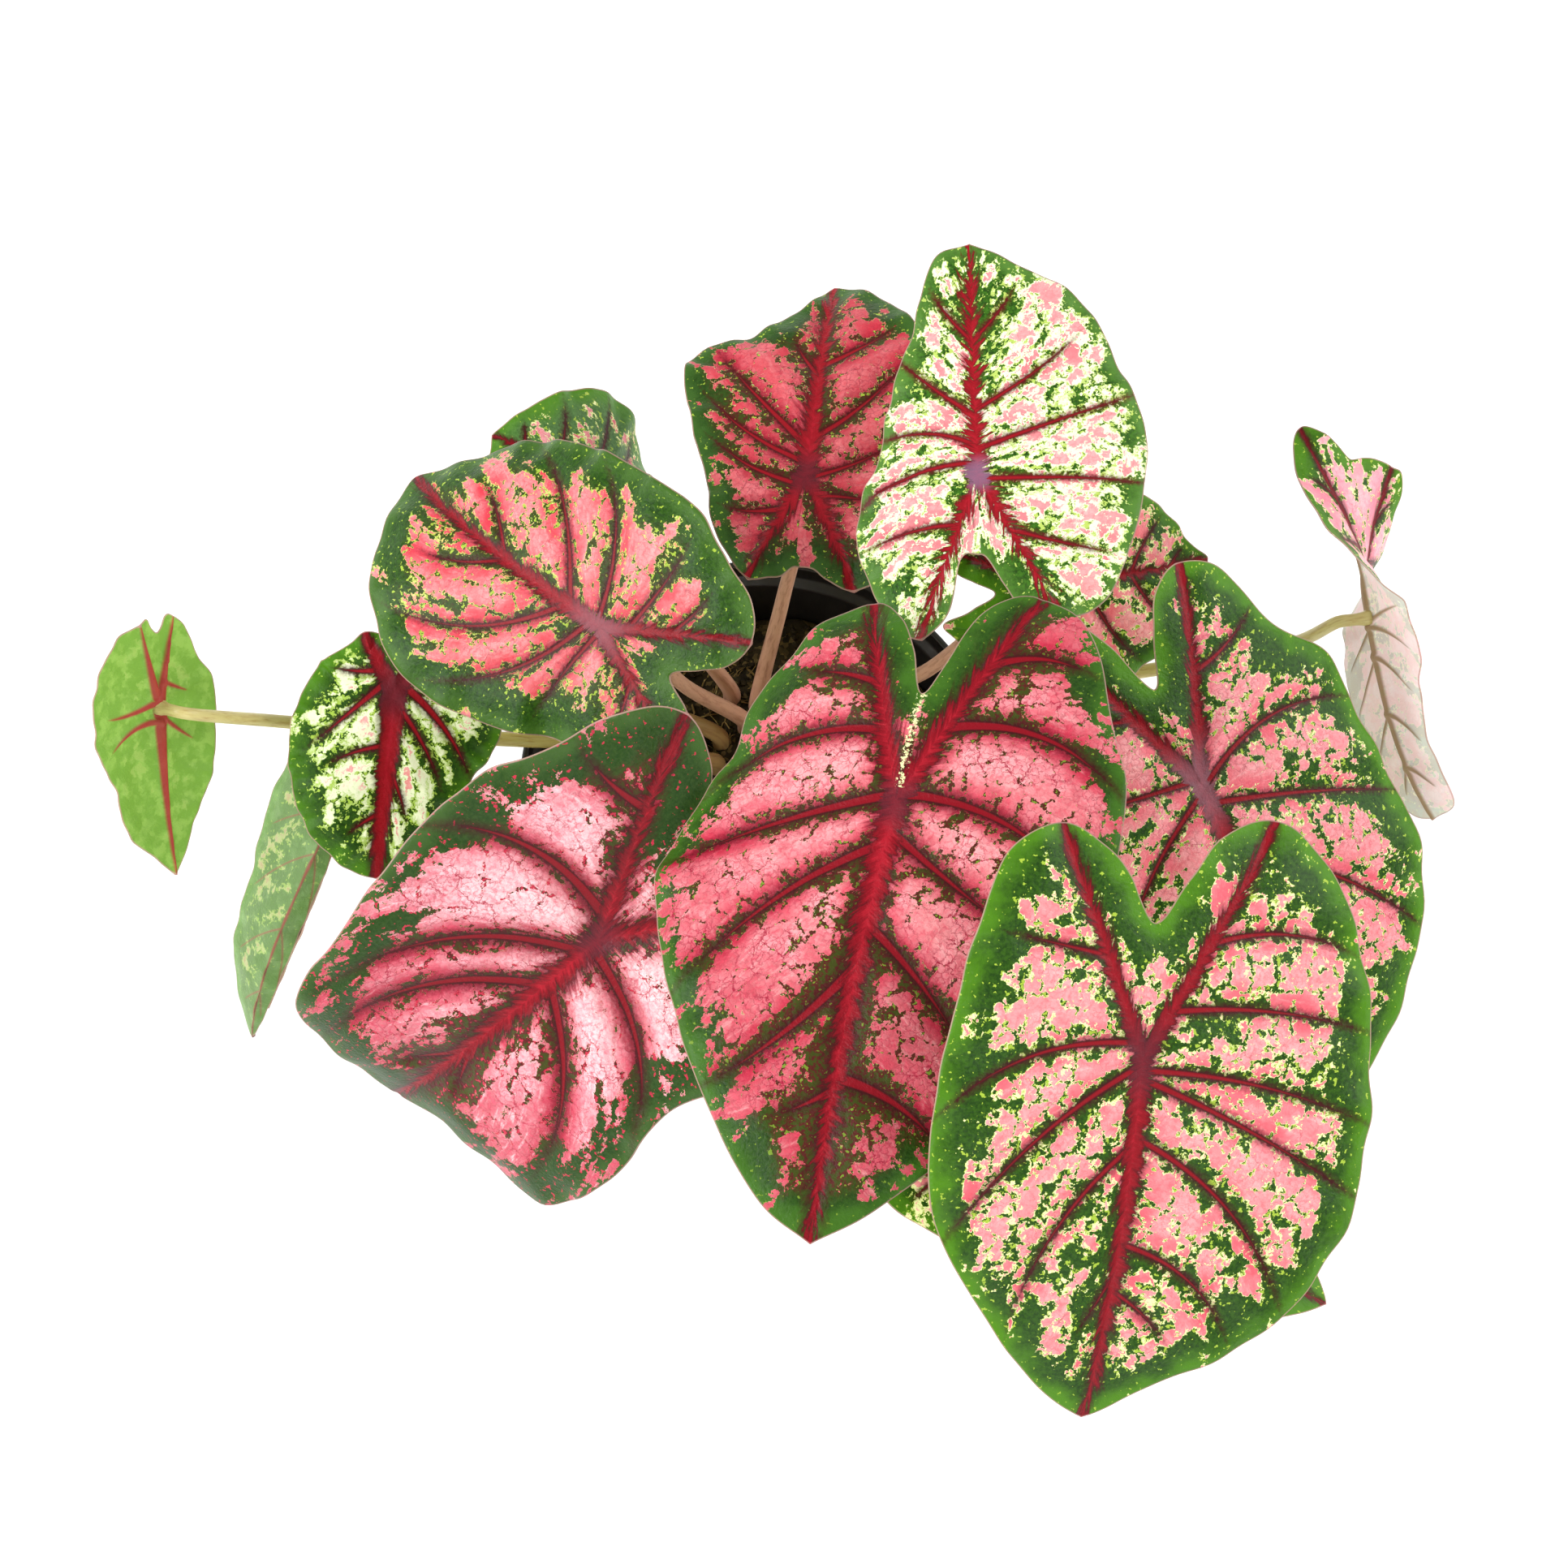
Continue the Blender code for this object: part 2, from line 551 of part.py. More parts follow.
def main():
    clear_scene()
    scene = bpy.context.scene
    collections = {}
    for name in ("caladium_in_pot", "drain_cutters", "stem_cutters"):
        collections[name] = bpy.data.collections.new(name)
        scene.collection.children.link(collections[name])
    make_pot(collections["caladium_in_pot"], collections["drain_cutters"])
    make_leaves(collections["caladium_in_pot"], collections["stem_cutters"])
    make_soil(collections["caladium_in_pot"], collections["stem_cutters"])


main()
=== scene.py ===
# %% [markdown]
# # A caladium in its nursery pot
# A caladium is an aroid grown for its leaves: thin heart-shaped blades, each held by one long
# stem that meets the blade inside its outline and not at its edge. This plant has fourteen of
# them over a black plastic pot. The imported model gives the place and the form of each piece.
# This script makes every piece again with finer detail and gives it a finish.

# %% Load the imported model
import functools
import math

import bmesh
import bpy
import numpy as np
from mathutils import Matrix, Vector, noise


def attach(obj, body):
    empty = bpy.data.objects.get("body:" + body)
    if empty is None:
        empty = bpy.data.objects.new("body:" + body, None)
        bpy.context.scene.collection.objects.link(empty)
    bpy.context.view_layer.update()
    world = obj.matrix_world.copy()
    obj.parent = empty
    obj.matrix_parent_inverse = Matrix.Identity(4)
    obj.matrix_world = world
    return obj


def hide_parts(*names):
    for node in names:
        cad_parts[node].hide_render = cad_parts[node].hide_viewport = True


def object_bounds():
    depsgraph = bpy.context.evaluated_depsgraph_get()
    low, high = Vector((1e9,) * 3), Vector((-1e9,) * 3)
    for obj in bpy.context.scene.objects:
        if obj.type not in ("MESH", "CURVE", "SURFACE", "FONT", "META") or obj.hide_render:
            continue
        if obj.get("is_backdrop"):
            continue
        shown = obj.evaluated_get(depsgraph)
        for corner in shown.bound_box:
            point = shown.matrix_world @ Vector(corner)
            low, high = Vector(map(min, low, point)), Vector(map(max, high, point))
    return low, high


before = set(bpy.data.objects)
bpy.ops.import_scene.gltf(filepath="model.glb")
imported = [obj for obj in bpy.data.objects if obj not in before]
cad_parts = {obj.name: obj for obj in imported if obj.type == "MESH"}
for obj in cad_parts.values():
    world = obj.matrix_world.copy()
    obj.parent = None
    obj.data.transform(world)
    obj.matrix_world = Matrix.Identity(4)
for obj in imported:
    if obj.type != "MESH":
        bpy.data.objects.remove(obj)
CAD_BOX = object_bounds()
MM = 0.001
print("the packed model spans, in mm:", *(tuple(round(c / MM, 1) for c in corner) for corner in CAD_BOX))

# %% [markdown]
# ## The camera
# The photograph looks down on the plant from 70 degrees above the horizon, from about one and a
# half metres away. A long lens at that distance keeps the far leaves nearly as large as the near
# ones. The camera comes first, so that every later step can be looked at from the same place.

# %% Place the camera
CAMERA_PLACE = (6.35, -479.04, 1427.50)
CAMERA_TILT = 20
LENS = 119.2
SENSOR = 36

camera_data = bpy.data.cameras.new("camera")
camera_data.lens = LENS
camera_data.sensor_width = SENSOR
camera_data.clip_end = 20
camera = bpy.data.objects.new("camera", camera_data)
camera.location = Vector(CAMERA_PLACE) * MM
camera.rotation_euler = (math.radians(CAMERA_TILT), 0, 0)
bpy.context.scene.collection.objects.link(camera)
bpy.context.scene.camera = camera
print("the camera sees a field of", round(SENSOR / LENS * camera.location.length / MM), "mm")

# %% [markdown]
# ## Small tools
# Colours are written as sRGB hex values, as a picture editor shows them, and a shader wants
# linear ones. Node trees are built in text, so one function adds a node with its settings and
# links. Every finish starts and ends alike, and every piece of the plant joins the model in the
# same way, so these steps are functions too.

# %% Colour, node and piece helpers
def linear(code):
    """An sRGB hex colour as the linear red, green, blue and alpha that a shader takes."""
    levels = [int(code[i:i + 2], 16) / 255 for i in (1, 3, 5)]
    return (*(c / 12.92 if c <= 0.04045 else ((c + 0.055) / 1.055) ** 2.4 for c in levels), 1.0)


def feed(tree, made, values):
    """Sets a node's inputs. A value is a number, a colour or the output of another node."""
    for key, value in values:
        if isinstance(value, bpy.types.NodeSocket):
            tree.links.new(value, made.inputs[key])
        elif value is not None:
            made.inputs[key].default_value = value


def node(tree, kind, *values, out=0, inputs=None, **settings):
    """Adds a node. The values go into its inputs in order, and those in inputs into the sockets
    that it names."""
    made = tree.nodes.new(kind)
    for key, value in settings.items():
        setattr(made, key, value)
    feed(tree, made, [*enumerate(values), *(inputs or {}).items()])
    return made if out is None else made.outputs[out]


def new_finish(name):
    """A new material, and the function that adds nodes to it."""
    material = bpy.data.materials.new(name)
    material.use_nodes = True
    return material, functools.partial(node, material.node_tree)


def surfaced(material, values):
    """Gives the material's surface its colour, roughness and other inputs."""
    tree = material.node_tree
    feed(tree, tree.nodes["Principled BSDF"], values.items())
    return material


def join_model(piece, cad_node):
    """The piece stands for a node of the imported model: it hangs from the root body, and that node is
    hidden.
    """
    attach(piece, "root")
    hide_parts(cad_node)


def new_object(name, mesh, material):
    mesh.materials.append(material)
    piece = bpy.data.objects.new(name, mesh)
    bpy.context.scene.collection.objects.link(piece)
    return piece


# %% [markdown]
# ## The form of a leaf
# Every blade follows one rule, with its own sizes. Half of it is laid flat first: twelve points
# give its margin, and each hangs from a point on the midrib or on the vein of the lobe. The flat
# half is then rolled, folded, twisted and bent down towards its tip and its lobes. The sizes
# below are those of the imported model, in millimetres and degrees.

# %% The sizes of the fourteen leaves
# at: where the stem meets the blade. heading, pitch, roll: where the tip points, how far it
# rises, and how far the blade leans to its right.
# tip, notch: from the stem to the tip and to the notch. half: the width of the left half and of
# the right. lobe: the length of each lobe. spread: how far out each lobe ends, as a share of its
# half's width. swell: how far the ten points between tip and notch stand out, left and right.
# droop, sag: how far the tip and the lobes bend down. cup: how far the edges turn up. vee: how
# far each half is raised. twist, untwist: the turn about the midrib at the tip and the lobes.
# foot: where the stem stands in the soil. via: points that it passes on its way up.
LEAVES = {
    "front_right": dict(
        at=(90, -126, 270), heading=-96, pitch=-24, roll=-19, tip=91, notch=32,
        half=(60, 49), lobe=(57, 54), spread=(0.48, 0.49),
        swell=((-2, 2, 2, 0, -1, 0, -1, 1, 0, 0), (1, 0, 2, 0, -2, -1, 0, 0, -1, 1)),
        droop=28, sag=12, cup=-10, vee=1, twist=5, untwist=0, foot=(9, 16), via=((50, -50, 190),),
    ),
    "centre": dict(
        at=(33, -57, 256), heading=-103, pitch=5, roll=16, tip=111, notch=30,
        half=(54, 51), lobe=(63, 57), spread=(0.41, 0.39),
        swell=((1, 1, 0, 1, 1, -2, -1, 0, 1, 3), (2, 0, 2, 7, -3, -2, -2, 0, -1, 1)),
        droop=21, sag=12, cup=-13, vee=-2, twist=-15, untwist=0, foot=(3, 20), via=((14, -18, 160),),
    ),
    "front_left": dict(
        at=(-40, -74, 200), heading=-149, pitch=-35, roll=-25, tip=96, notch=36,
        half=(51, 52), lobe=(59, 59), spread=(0.53, 0.55),
        swell=((-1, 13, 3, -7, 0, 0, 0, 0, 0, 0), (1, 8, 0, 0, 1, -1, -1, 0, 0, 1)),
        droop=50, sag=12, cup=6, vee=8, twist=-14, untwist=0, foot=(-4, 12), via=((-18, -26, 140),),
    ),
    "left": dict(
        at=(-41, 9, 204), heading=139, pitch=-14, roll=-32, tip=84, notch=25,
        half=(39, 39), lobe=(41, 40), spread=(0.46, 0.46),
        swell=((1, 5, 6, -1, -8, -1, 0, 0, 0, 1), (0, 3, 1, 0, 1, -1, -1, 0, 0, 0)),
        droop=33, sag=13, cup=-9, vee=1, twist=33, untwist=0, foot=(-4, 24), via=((-20, 21, 130),),
    ),
    "back": dict(
        at=(12, 54, 197), heading=84, pitch=-15, roll=-4, tip=74, notch=29,
        half=(30, 38), lobe=(34, 35), spread=(0.40, 0.41),
        swell=((-3, -2, 9, 1, -5, -4, -4, -1, 1, 2), (2, 1, 0, 0, 0, 0, 0, 0, 0, -1)),
        droop=22, sag=13, cup=1, vee=3, twist=-6, untwist=0, foot=(-1, 30), via=((6, 42, 140),),
    ),
    "back_right": dict(
        at=(55, 41, 227), heading=91, pitch=-7, roll=-9, tip=70, notch=23,
        half=(32, 42), lobe=(42, 43), spread=(0.49, 0.46),
        swell=((3, -6, -8, -7, 0, 2, 1, 2, -2, -8), (0, 2, -1, 1, 0, 0, 0, -1, 0, 0)),
        droop=4, sag=11, cup=-13, vee=-1, twist=-1, untwist=0, foot=(9, 24),
        via=((24, 26, 130), (41, 27, 192)),
    ),
    "right": dict(
        at=(111, -35, 206), heading=-59, pitch=-34, roll=-7, tip=104, notch=28,
        half=(48, 45), lobe=(54, 58), spread=(0.47, 0.46),
        swell=((0, 2, 5, 1, 1, -6, -4, -2, -1, 1), (0, 0, 0, 0, 0, 0, 0, 0, 0, 2)),
        droop=21, sag=10, cup=-12, vee=0, twist=14, untwist=0, foot=(16, 14), via=((56, -6, 140),),
    ),
    "right_behind": dict(
        at=(76, 28, 184), heading=14, pitch=-13, roll=35, tip=48, notch=16,
        half=(26, 28), lobe=(28, 28), spread=(0.47, 0.47),
        swell=((-2, 0, 0, 0, 0, 0, 0, 0, 0, 0), (0, 1, 2, 0, 0, 0, 0, -2, 4, 1)),
        droop=25, sag=13, cup=-11, vee=0, twist=-6, untwist=0, foot=(16, 30), via=((44, 27, 125),),
    ),
    "left_low": dict(
        at=(-95, 5, 167), heading=-97, pitch=-27, roll=-6, tip=52, notch=12,
        half=(27, 24), lobe=(18, 15), spread=(0.47, 0.39),
        swell=((0, 0, -2, 2, 0, 0, 0, 0, 0, 0), (3, 5, 4, 2, -3, -3, -4, 0, 1, 0)),
        droop=26, sag=12, cup=-12, vee=0, twist=-5, untwist=0, foot=(-11, 20), via=((-40, 21, 118),),
    ),
    "left_hanging": dict(
        at=(-113, -5, 112), heading=-121, pitch=-29, roll=-1, tip=89, notch=16,
        half=(6, 27), lobe=(24, 32), spread=(0.47, 0.47),
        swell=((3, 4, 1, -2, -2, 1, 2, 2, 1, 0), (2, 2, -3, 1, 2, 0, 0, 0, 0, 0)),
        droop=55, sag=0, cup=0, vee=-38, twist=-3, untwist=0, foot=(-12, 13),
        via=((-48, 1, 115), (-66, -2, 117), (-90, -5, 110)),
    ),
    "back_left": dict(
        at=(-42, 60, 164), heading=141, pitch=9, roll=46, tip=35, notch=14,
        half=(35, 38), lobe=(24, 24), spread=(0.47, 0.47),
        swell=((0, 0, 0, 0, 0, 0, 0, 0, 0, 0), (-1, 0, 2, 0, -1, 0, 0, 0, 0, 0)),
        droop=23, sag=12, cup=-13, vee=0, twist=-51, untwist=0, foot=(-8, 33), via=((-20, 40, 118),),
    ),
    "far_left": dict(
        at=(-156, 0, 170), heading=-89, pitch=-35, roll=136, tip=45, notch=20,
        half=(22, 16), lobe=(25, 25), spread=(0.30, 0.30),
        swell=((-1, 0, -3, 1, 2, 1, -1, -2, 1, 0), (0, -1, 1, 1, 1, -2, -2, -1, 1, 0)),
        droop=13, sag=10, cup=-18, vee=1, twist=-2, untwist=0, foot=(-19, 20),
        via=((-53, 10, 118), (-86, 7, 130), (-124, 4, 148)),
    ),
    "far_right": dict(
        at=(159, 22, 177), heading=-82, pitch=-13, roll=-102, tip=55, notch=42,
        half=(20, 23), lobe=(43, 52), spread=(0.64, 0.58),
        swell=((2, -1, -2, -1, 1, 0, 0, -3, 2, 2), (4, -6, -6, 1, 1, 0, -2, -1, 1, 1)),
        droop=-24, sag=-4, cup=-14, vee=6, twist=-32, untwist=92, foot=(16, 22),
        via=((62, 24, 119), (104, 23, 137), (138, 21, 160)),
    ),
    "front_hidden": dict(
        at=(71, -136, 200), heading=-18, pitch=-11, roll=-6, tip=79, notch=22,
        half=(34, 25), lobe=(38, 42), spread=(0.47, 0.47),
        swell=((0, 0, 0, 0, 0, 0, 0, 0, 0, 0), (0, 0, 0, 0, 0, 0, 0, 0, 0, 0)),
        droop=22, sag=12, cup=-12, vee=0, twist=0, untwist=0, foot=(5, 8), via=((30, -50, 130),),
    ),
}

# %% [markdown]
# The rule itself comes next. It works on whole arrays of points at once with numpy, so that it
# can be read at any fineness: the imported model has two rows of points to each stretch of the
# margin, and the blades here have fourteen.

# %% The flat outline of half a blade
STRETCHES = 11


def side_of(leaf, side):
    """The four sizes of one half, 1 for left and -1 for right: width, lobe, spread, swell."""
    i = 0 if side > 0 else 1
    return leaf["half"][i], leaf["lobe"][i], leaf["spread"][i], leaf["swell"][i]


def stations(leaf, side):
    """The margin's twelve points, and for each the point of the midrib or lobe vein it hangs from."""
    width, lobe, spread, swell = side_of(leaf, side)
    tip, notch = leaf["tip"], leaf["notch"]
    margin = np.array([
        (tip, 0.0),
        (0.90 * tip, 0.26 * width),
        (0.70 * tip, 0.63 * width),
        (0.44 * tip, 0.90 * width),
        (0.17 * tip, 1.00 * width),
        (-0.10 * tip, 0.99 * width),
        (-0.50 * lobe, 0.90 * width),
        (-0.86 * lobe, (0.50 + 0.50 * spread) * width),
        (-1.00 * lobe, spread * width),
        (-0.93 * lobe, 0.55 * spread * width),
        (-0.45 * notch - 0.50 * lobe, 0.28 * spread * width),
        (-notch, 0.0),
    ])
    lobe_vein = np.array([-0.80 * lobe, 0.82 * spread * width])
    along_midrib = [(share * tip, 0.0) for share in (0.94, 0.72, 0.46, 0.22, 0.05, 0.0)]
    along_lobe = [share * lobe_vein for share in (0.42, 0.74, 1.0, 0.74, 0.42, 0.0)]
    spine = np.array(along_midrib + along_lobe)
    out = margin[1:-1] - spine[1:-1]
    margin[1:-1] += out / np.linalg.norm(out, axis=1, keepdims=True) * np.array(swell)[:, None]
    return margin, spine


def smooth_through(points, place, first, last):
    """A cubic curve through the points, read at each place, with its two end slopes given."""
    slope = np.zeros_like(points)
    slope[1:-1] = (points[2:] - points[:-2]) / 2
    slope[0], slope[-1] = first, last
    i = np.clip(np.floor(place).astype(int), 0, len(points) - 2)
    u = (place - i)[:, None]
    return (
        points[i] * (2 * u**3 - 3 * u**2 + 1)
        + slope[i] * (u**3 - 2 * u**2 + u)
        + points[i + 1] * (3 * u**2 - 2 * u**3)
        + slope[i + 1] * (u**3 - u**2)
    )


# %% Bending the flat blade
DROOP_POWER = 1.6


def drooped(share, length, degrees):
    """A line that bends down more and more: how far along it reaches, how far down, its slope."""
    steps = np.linspace(0, 1.4, 141)
    slope = math.radians(degrees) * steps**DROOP_POWER
    middle = (slope[1:] + slope[:-1]) / 2
    along = np.concatenate([[0], np.cumsum(np.cos(middle) * np.diff(steps))]) * length
    down = np.concatenate([[0], np.cumsum(np.sin(middle) * np.diff(steps))]) * length
    reached = np.interp(share, steps, along)
    fallen = np.interp(share, steps, down)
    return reached, fallen, math.radians(degrees) * share**DROOP_POWER


def bent(leaf, flat, side):
    """The flat points of one half, bent to the leaf's form, in the leaf's own axes."""
    x, y = flat[..., 0], flat[..., 1]
    width = side_of(leaf, side)[0]
    curl = math.radians(leaf["cup"]) * y / width
    curl = np.where(np.abs(curl) < 1e-6, 1e-6, curl)
    out = y * np.sin(curl) / curl
    up = y * (1 - np.cos(curl)) / curl
    raised = math.radians(leaf["vee"])
    out, up = out * math.cos(raised) - up * math.sin(raised), up * math.cos(raised) + out * math.sin(raised)
    out = out * side
    fore = np.clip(x / leaf["tip"], 0, None)
    lobe = sum(leaf["lobe"]) / 2
    back = np.clip(-x / lobe, 0, None)
    turn = np.radians(leaf["twist"] * fore + leaf["untwist"] * back)
    out, up = out * np.cos(turn) - up * np.sin(turn), out * np.sin(turn) + up * np.cos(turn)
    fore_along, fore_down, fore_slope = drooped(fore, leaf["tip"], leaf["droop"])
    back_along, back_down, back_slope = drooped(back, lobe, leaf["sag"])
    ahead = x >= 0
    slope = np.where(ahead, fore_slope, -back_slope)
    along = np.where(ahead, fore_along, -back_along) + up * np.sin(slope)
    height = up * np.cos(slope) - np.where(ahead, fore_down, back_down)
    return np.stack([along, out, height], -1)


def axes_of(leaf):
    """The leaf's own axes: towards the tip, to its left, and out of its upper face."""
    heading, pitch, roll = (math.radians(leaf[key]) for key in ("heading", "pitch", "roll"))
    level_ahead = np.array([math.cos(heading), math.sin(heading), 0.0])
    ahead = level_ahead * math.cos(pitch) + np.array([0.0, 0.0, math.sin(pitch)])
    level = np.array([-math.sin(heading), math.cos(heading), 0.0])
    above = np.cross(ahead, level)
    left = level * math.cos(roll) + above * math.sin(roll)
    return ahead, left, above * math.cos(roll) - level * math.sin(roll)


# %% [markdown]
# ## Where the veins run
# A caladium's blade has a midrib, a strong vein into each lobe, and side veins that leave them
# and bend towards the tip. Colour and relief both follow these veins. The rows of points are
# therefore laid along the side veins: a line that lies on an edge of the mesh stays sharp.
# Each point keeps what the finish needs to know: how far it is from the midrib, from a side vein
# and from the margin, and its own place along and across the rows.

# %% Rows along the veins
# A side vein leaves the spine at one place and heads for another place on the margin. Places 0
# to 5 are on the midrib, from the tip to the stem, 5 to 8 on the outer side of the lobe's vein
# and 8 to 11 on its inner side. Then come its bow, as a share of its length, and its reach, the
# share of the way to the margin at which it fades out.
ENDS = ((0, 0, 0, 1), (8, 8, 0, 1), (11, 11, 0, 1))
ROWS_PER_PLACE = 14
COLUMNS = 24
MIDDLE_COLUMN = 14


def spine_places(veins):
    """For each half, the places of its rows. Both halves share the places on the midrib, and the
    two sides of a lobe's vein mirror each other, so that the sheet closes without a seam."""
    def filled(knots, halves):
        knots = sorted({round(k, 6) for k in knots})
        places = knots[:1]
        for a, b in zip(knots, knots[1:]):
            gaps = [b - a]
            for half in halves:
                starts, ends = np.array(sorted((*half, *ENDS)), float).T[:2]
                gaps += [abs(np.interp(b, starts, ends) - np.interp(a, starts, ends))]
                gaps += [abs(np.interp(16 - b, starts, ends) - np.interp(16 - a, starts, ends))] * (a >= 5)
            count = max(2, math.ceil(max(gaps) * ROWS_PER_PLACE))
            places += [a + (b - a) * (i + 1) / count for i in range(count)]
        return places

    front = filled([vein[0] for half in veins for vein in half if vein[0] < 5] + [0.0, 5.0], veins)
    for half in veins:
        outer = [v[0] for v in half if 5 < v[0] < 8] + [16 - v[0] for v in half if 8 < v[0] < 11]
        lobe = filled(outer + [5.0, 8.0], [half])
        yield np.array(front + lobe[1:] + [16 - a for a in lobe[-2::-1]])


def flat_rows(leaf, side, veins, places, columns=COLUMNS):
    """Rows of flat points, each from a place on the spine out to the margin."""
    margin, spine = stations(leaf, side)
    starts, ends, bows = np.array(sorted((*veins, *ENDS)), float).T[:3]
    goals = np.interp(places, starts, ends)
    knots = np.arange(STRETCHES + 1)
    edge = smooth_through(margin, goals, margin[1] - margin[0], (0.0, -margin[-2, 1]))
    root = np.stack([np.interp(places, knots, spine[:, 0]), np.interp(places, knots, spine[:, 1])], -1)
    out = edge - root
    aside = np.stack([-out[:, 1], out[:, 0]], -1)
    middle = (edge + root) / 2 + np.interp(places, starts, bows)[:, None] * aside
    t = np.linspace(0, 1, columns + 1)[None, :, None]
    return root[:, None] * (1 - t) ** 2 + 2 * middle[:, None] * t * (1 - t) + edge[:, None] * t**2


def distance_to_line(points, line):
    """How far each point is from a line, and at which share of the line's length."""
    step = np.diff(line, axis=0)
    length = np.linalg.norm(step, axis=1)
    gap = points[:, None] - line[None, :-1]
    share = np.clip((gap * step).sum(2) / np.maximum(length, 1e-9) ** 2, 0, 1)
    away = np.linalg.norm(gap - share[..., None] * step, axis=2)
    near = away.argmin(1)
    each = np.arange(len(points))
    run = np.concatenate([[0], np.cumsum(length)])
    return away[each, near], (run[near] + share[each, near] * length[near]) / run[-1]


def smoothstep(value, low, high):
    u = np.clip((value - low) / (high - low), 0, 1)
    return u * u * (3 - 2 * u)


# %% What each point of half a blade knows
FADE = 5.0
LOBE_VEIN_WIDTH = 0.85
OUTLINE_POINTS = 400
SIDE_VEIN_POINTS = 60


def half_sheet(leaf, side, veins, places, rib, lateral):
    """The flat points of a half and their distances, in millimetres. rib is the half width of
    the main veins where they start and where they end, and lateral that of a long side vein."""
    rows = flat_rows(leaf, side, veins, places)
    points = rows.reshape(-1, 2)
    margin, spine = stations(leaf, side)
    know = {key: np.full(len(points), 1e3) for key in ("rib", "vein", "deep")}
    midrib, lobe_vein = np.array([(0, 0), (leaf["tip"], 0)], float), np.array([(0, 0), spine[8], margin[8]])
    for line, share in ((midrib, 1.0), (lobe_vein, LOBE_VEIN_WIDTH)):
        away, along = distance_to_line(points, line)
        wide = share * (rib[0] + (rib[1] - rib[0]) * along**0.8)
        know["rib"] = np.minimum(know["rib"], away - wide)
        know["deep"] = np.minimum(know["deep"], away)
    roots = np.array([vein[0] for vein in veins], float)
    for line, vein in zip(flat_rows(leaf, side, veins, roots, SIDE_VEIN_POINTS), veins):
        away, along = distance_to_line(points, line)
        left = 1 - along / vein[3]
        wide = np.where(left > 0, lateral * (0.35 + 0.65 * vein[3]) * np.abs(left) ** 0.7, left * FADE)
        know["vein"] = np.minimum(know["vein"], away - wide)
        know["deep"] = np.minimum(know["deep"], away + np.clip(-left * 20, 0, None))
    for half in (side, -side):
        margin = stations(leaf, half)[0]
        ends = (margin[1] - margin[0], (0.0, -margin[-2, 1]))
        outline = smooth_through(margin, np.linspace(0, STRETCHES, OUTLINE_POINTS), *ends)
        away, along = distance_to_line(points * (1, side * half), outline)
        know.setdefault("round", along)
        know["edge"] = np.minimum(know.get("edge", away), away)
    run = np.linalg.norm(np.diff(rows, axis=1), axis=2)
    along = np.concatenate([np.zeros((len(rows), 1)), np.cumsum(run, axis=1)], axis=1)
    across = np.linalg.norm(np.diff(rows[:, MIDDLE_COLUMN], axis=0), axis=1)
    know["along"] = along.reshape(-1)
    know["across"] = np.repeat(np.concatenate([[0], np.cumsum(across)]), COLUMNS + 1)
    return points, know


# %% [markdown]
# ## From flat halves to a closed blade
# A real blade is a third of a millimetre thick, with its veins sunk a little above and standing
# out as ridges below, and the fields between them quilted. Cloth or sculpting tools could make
# such relief, but each height here depends on a distance that is already known, so the points
# are simply moved along their normals. Each corner of each triangle keeps its own copy of what
# it knows, because the two halves meet at the midrib with different rows.

# %% Build one blade
EDGE_THICKNESS = 0.35
BLADE_THICKNESS = 0.6
QUILT_REACH = 6.0
QUILT_END = 12
RIPPLE = 0.18
RIPPLE_SIZE = 7.0
RIB_RIDGE = 1.1
RIB_GROOVE = 0.3
VEIN_RIDGE = 0.45
VEIN_GROOVE = 0.15
WAVE_REACH = 13.0
LEAVES_APART = 300.0
HALVES_APART = 150


def point_normals(points, triangles):
    """The direction of the surface at each point."""
    a, b, c = (points[triangles[:, i]] for i in range(3))
    facing = np.cross(b - a, c - a)
    normals = np.zeros_like(points)
    for i in range(3):
        np.add.at(normals, triangles[:, i], facing)
    return normals / np.maximum(np.linalg.norm(normals, axis=1, keepdims=True), 1e-12)


def puckered(points, size, seed):
    """A smooth random height, from about -1 to 1, for each point."""
    place = points / size + seed
    return np.array([noise.noise(Vector(p)) for p in place])


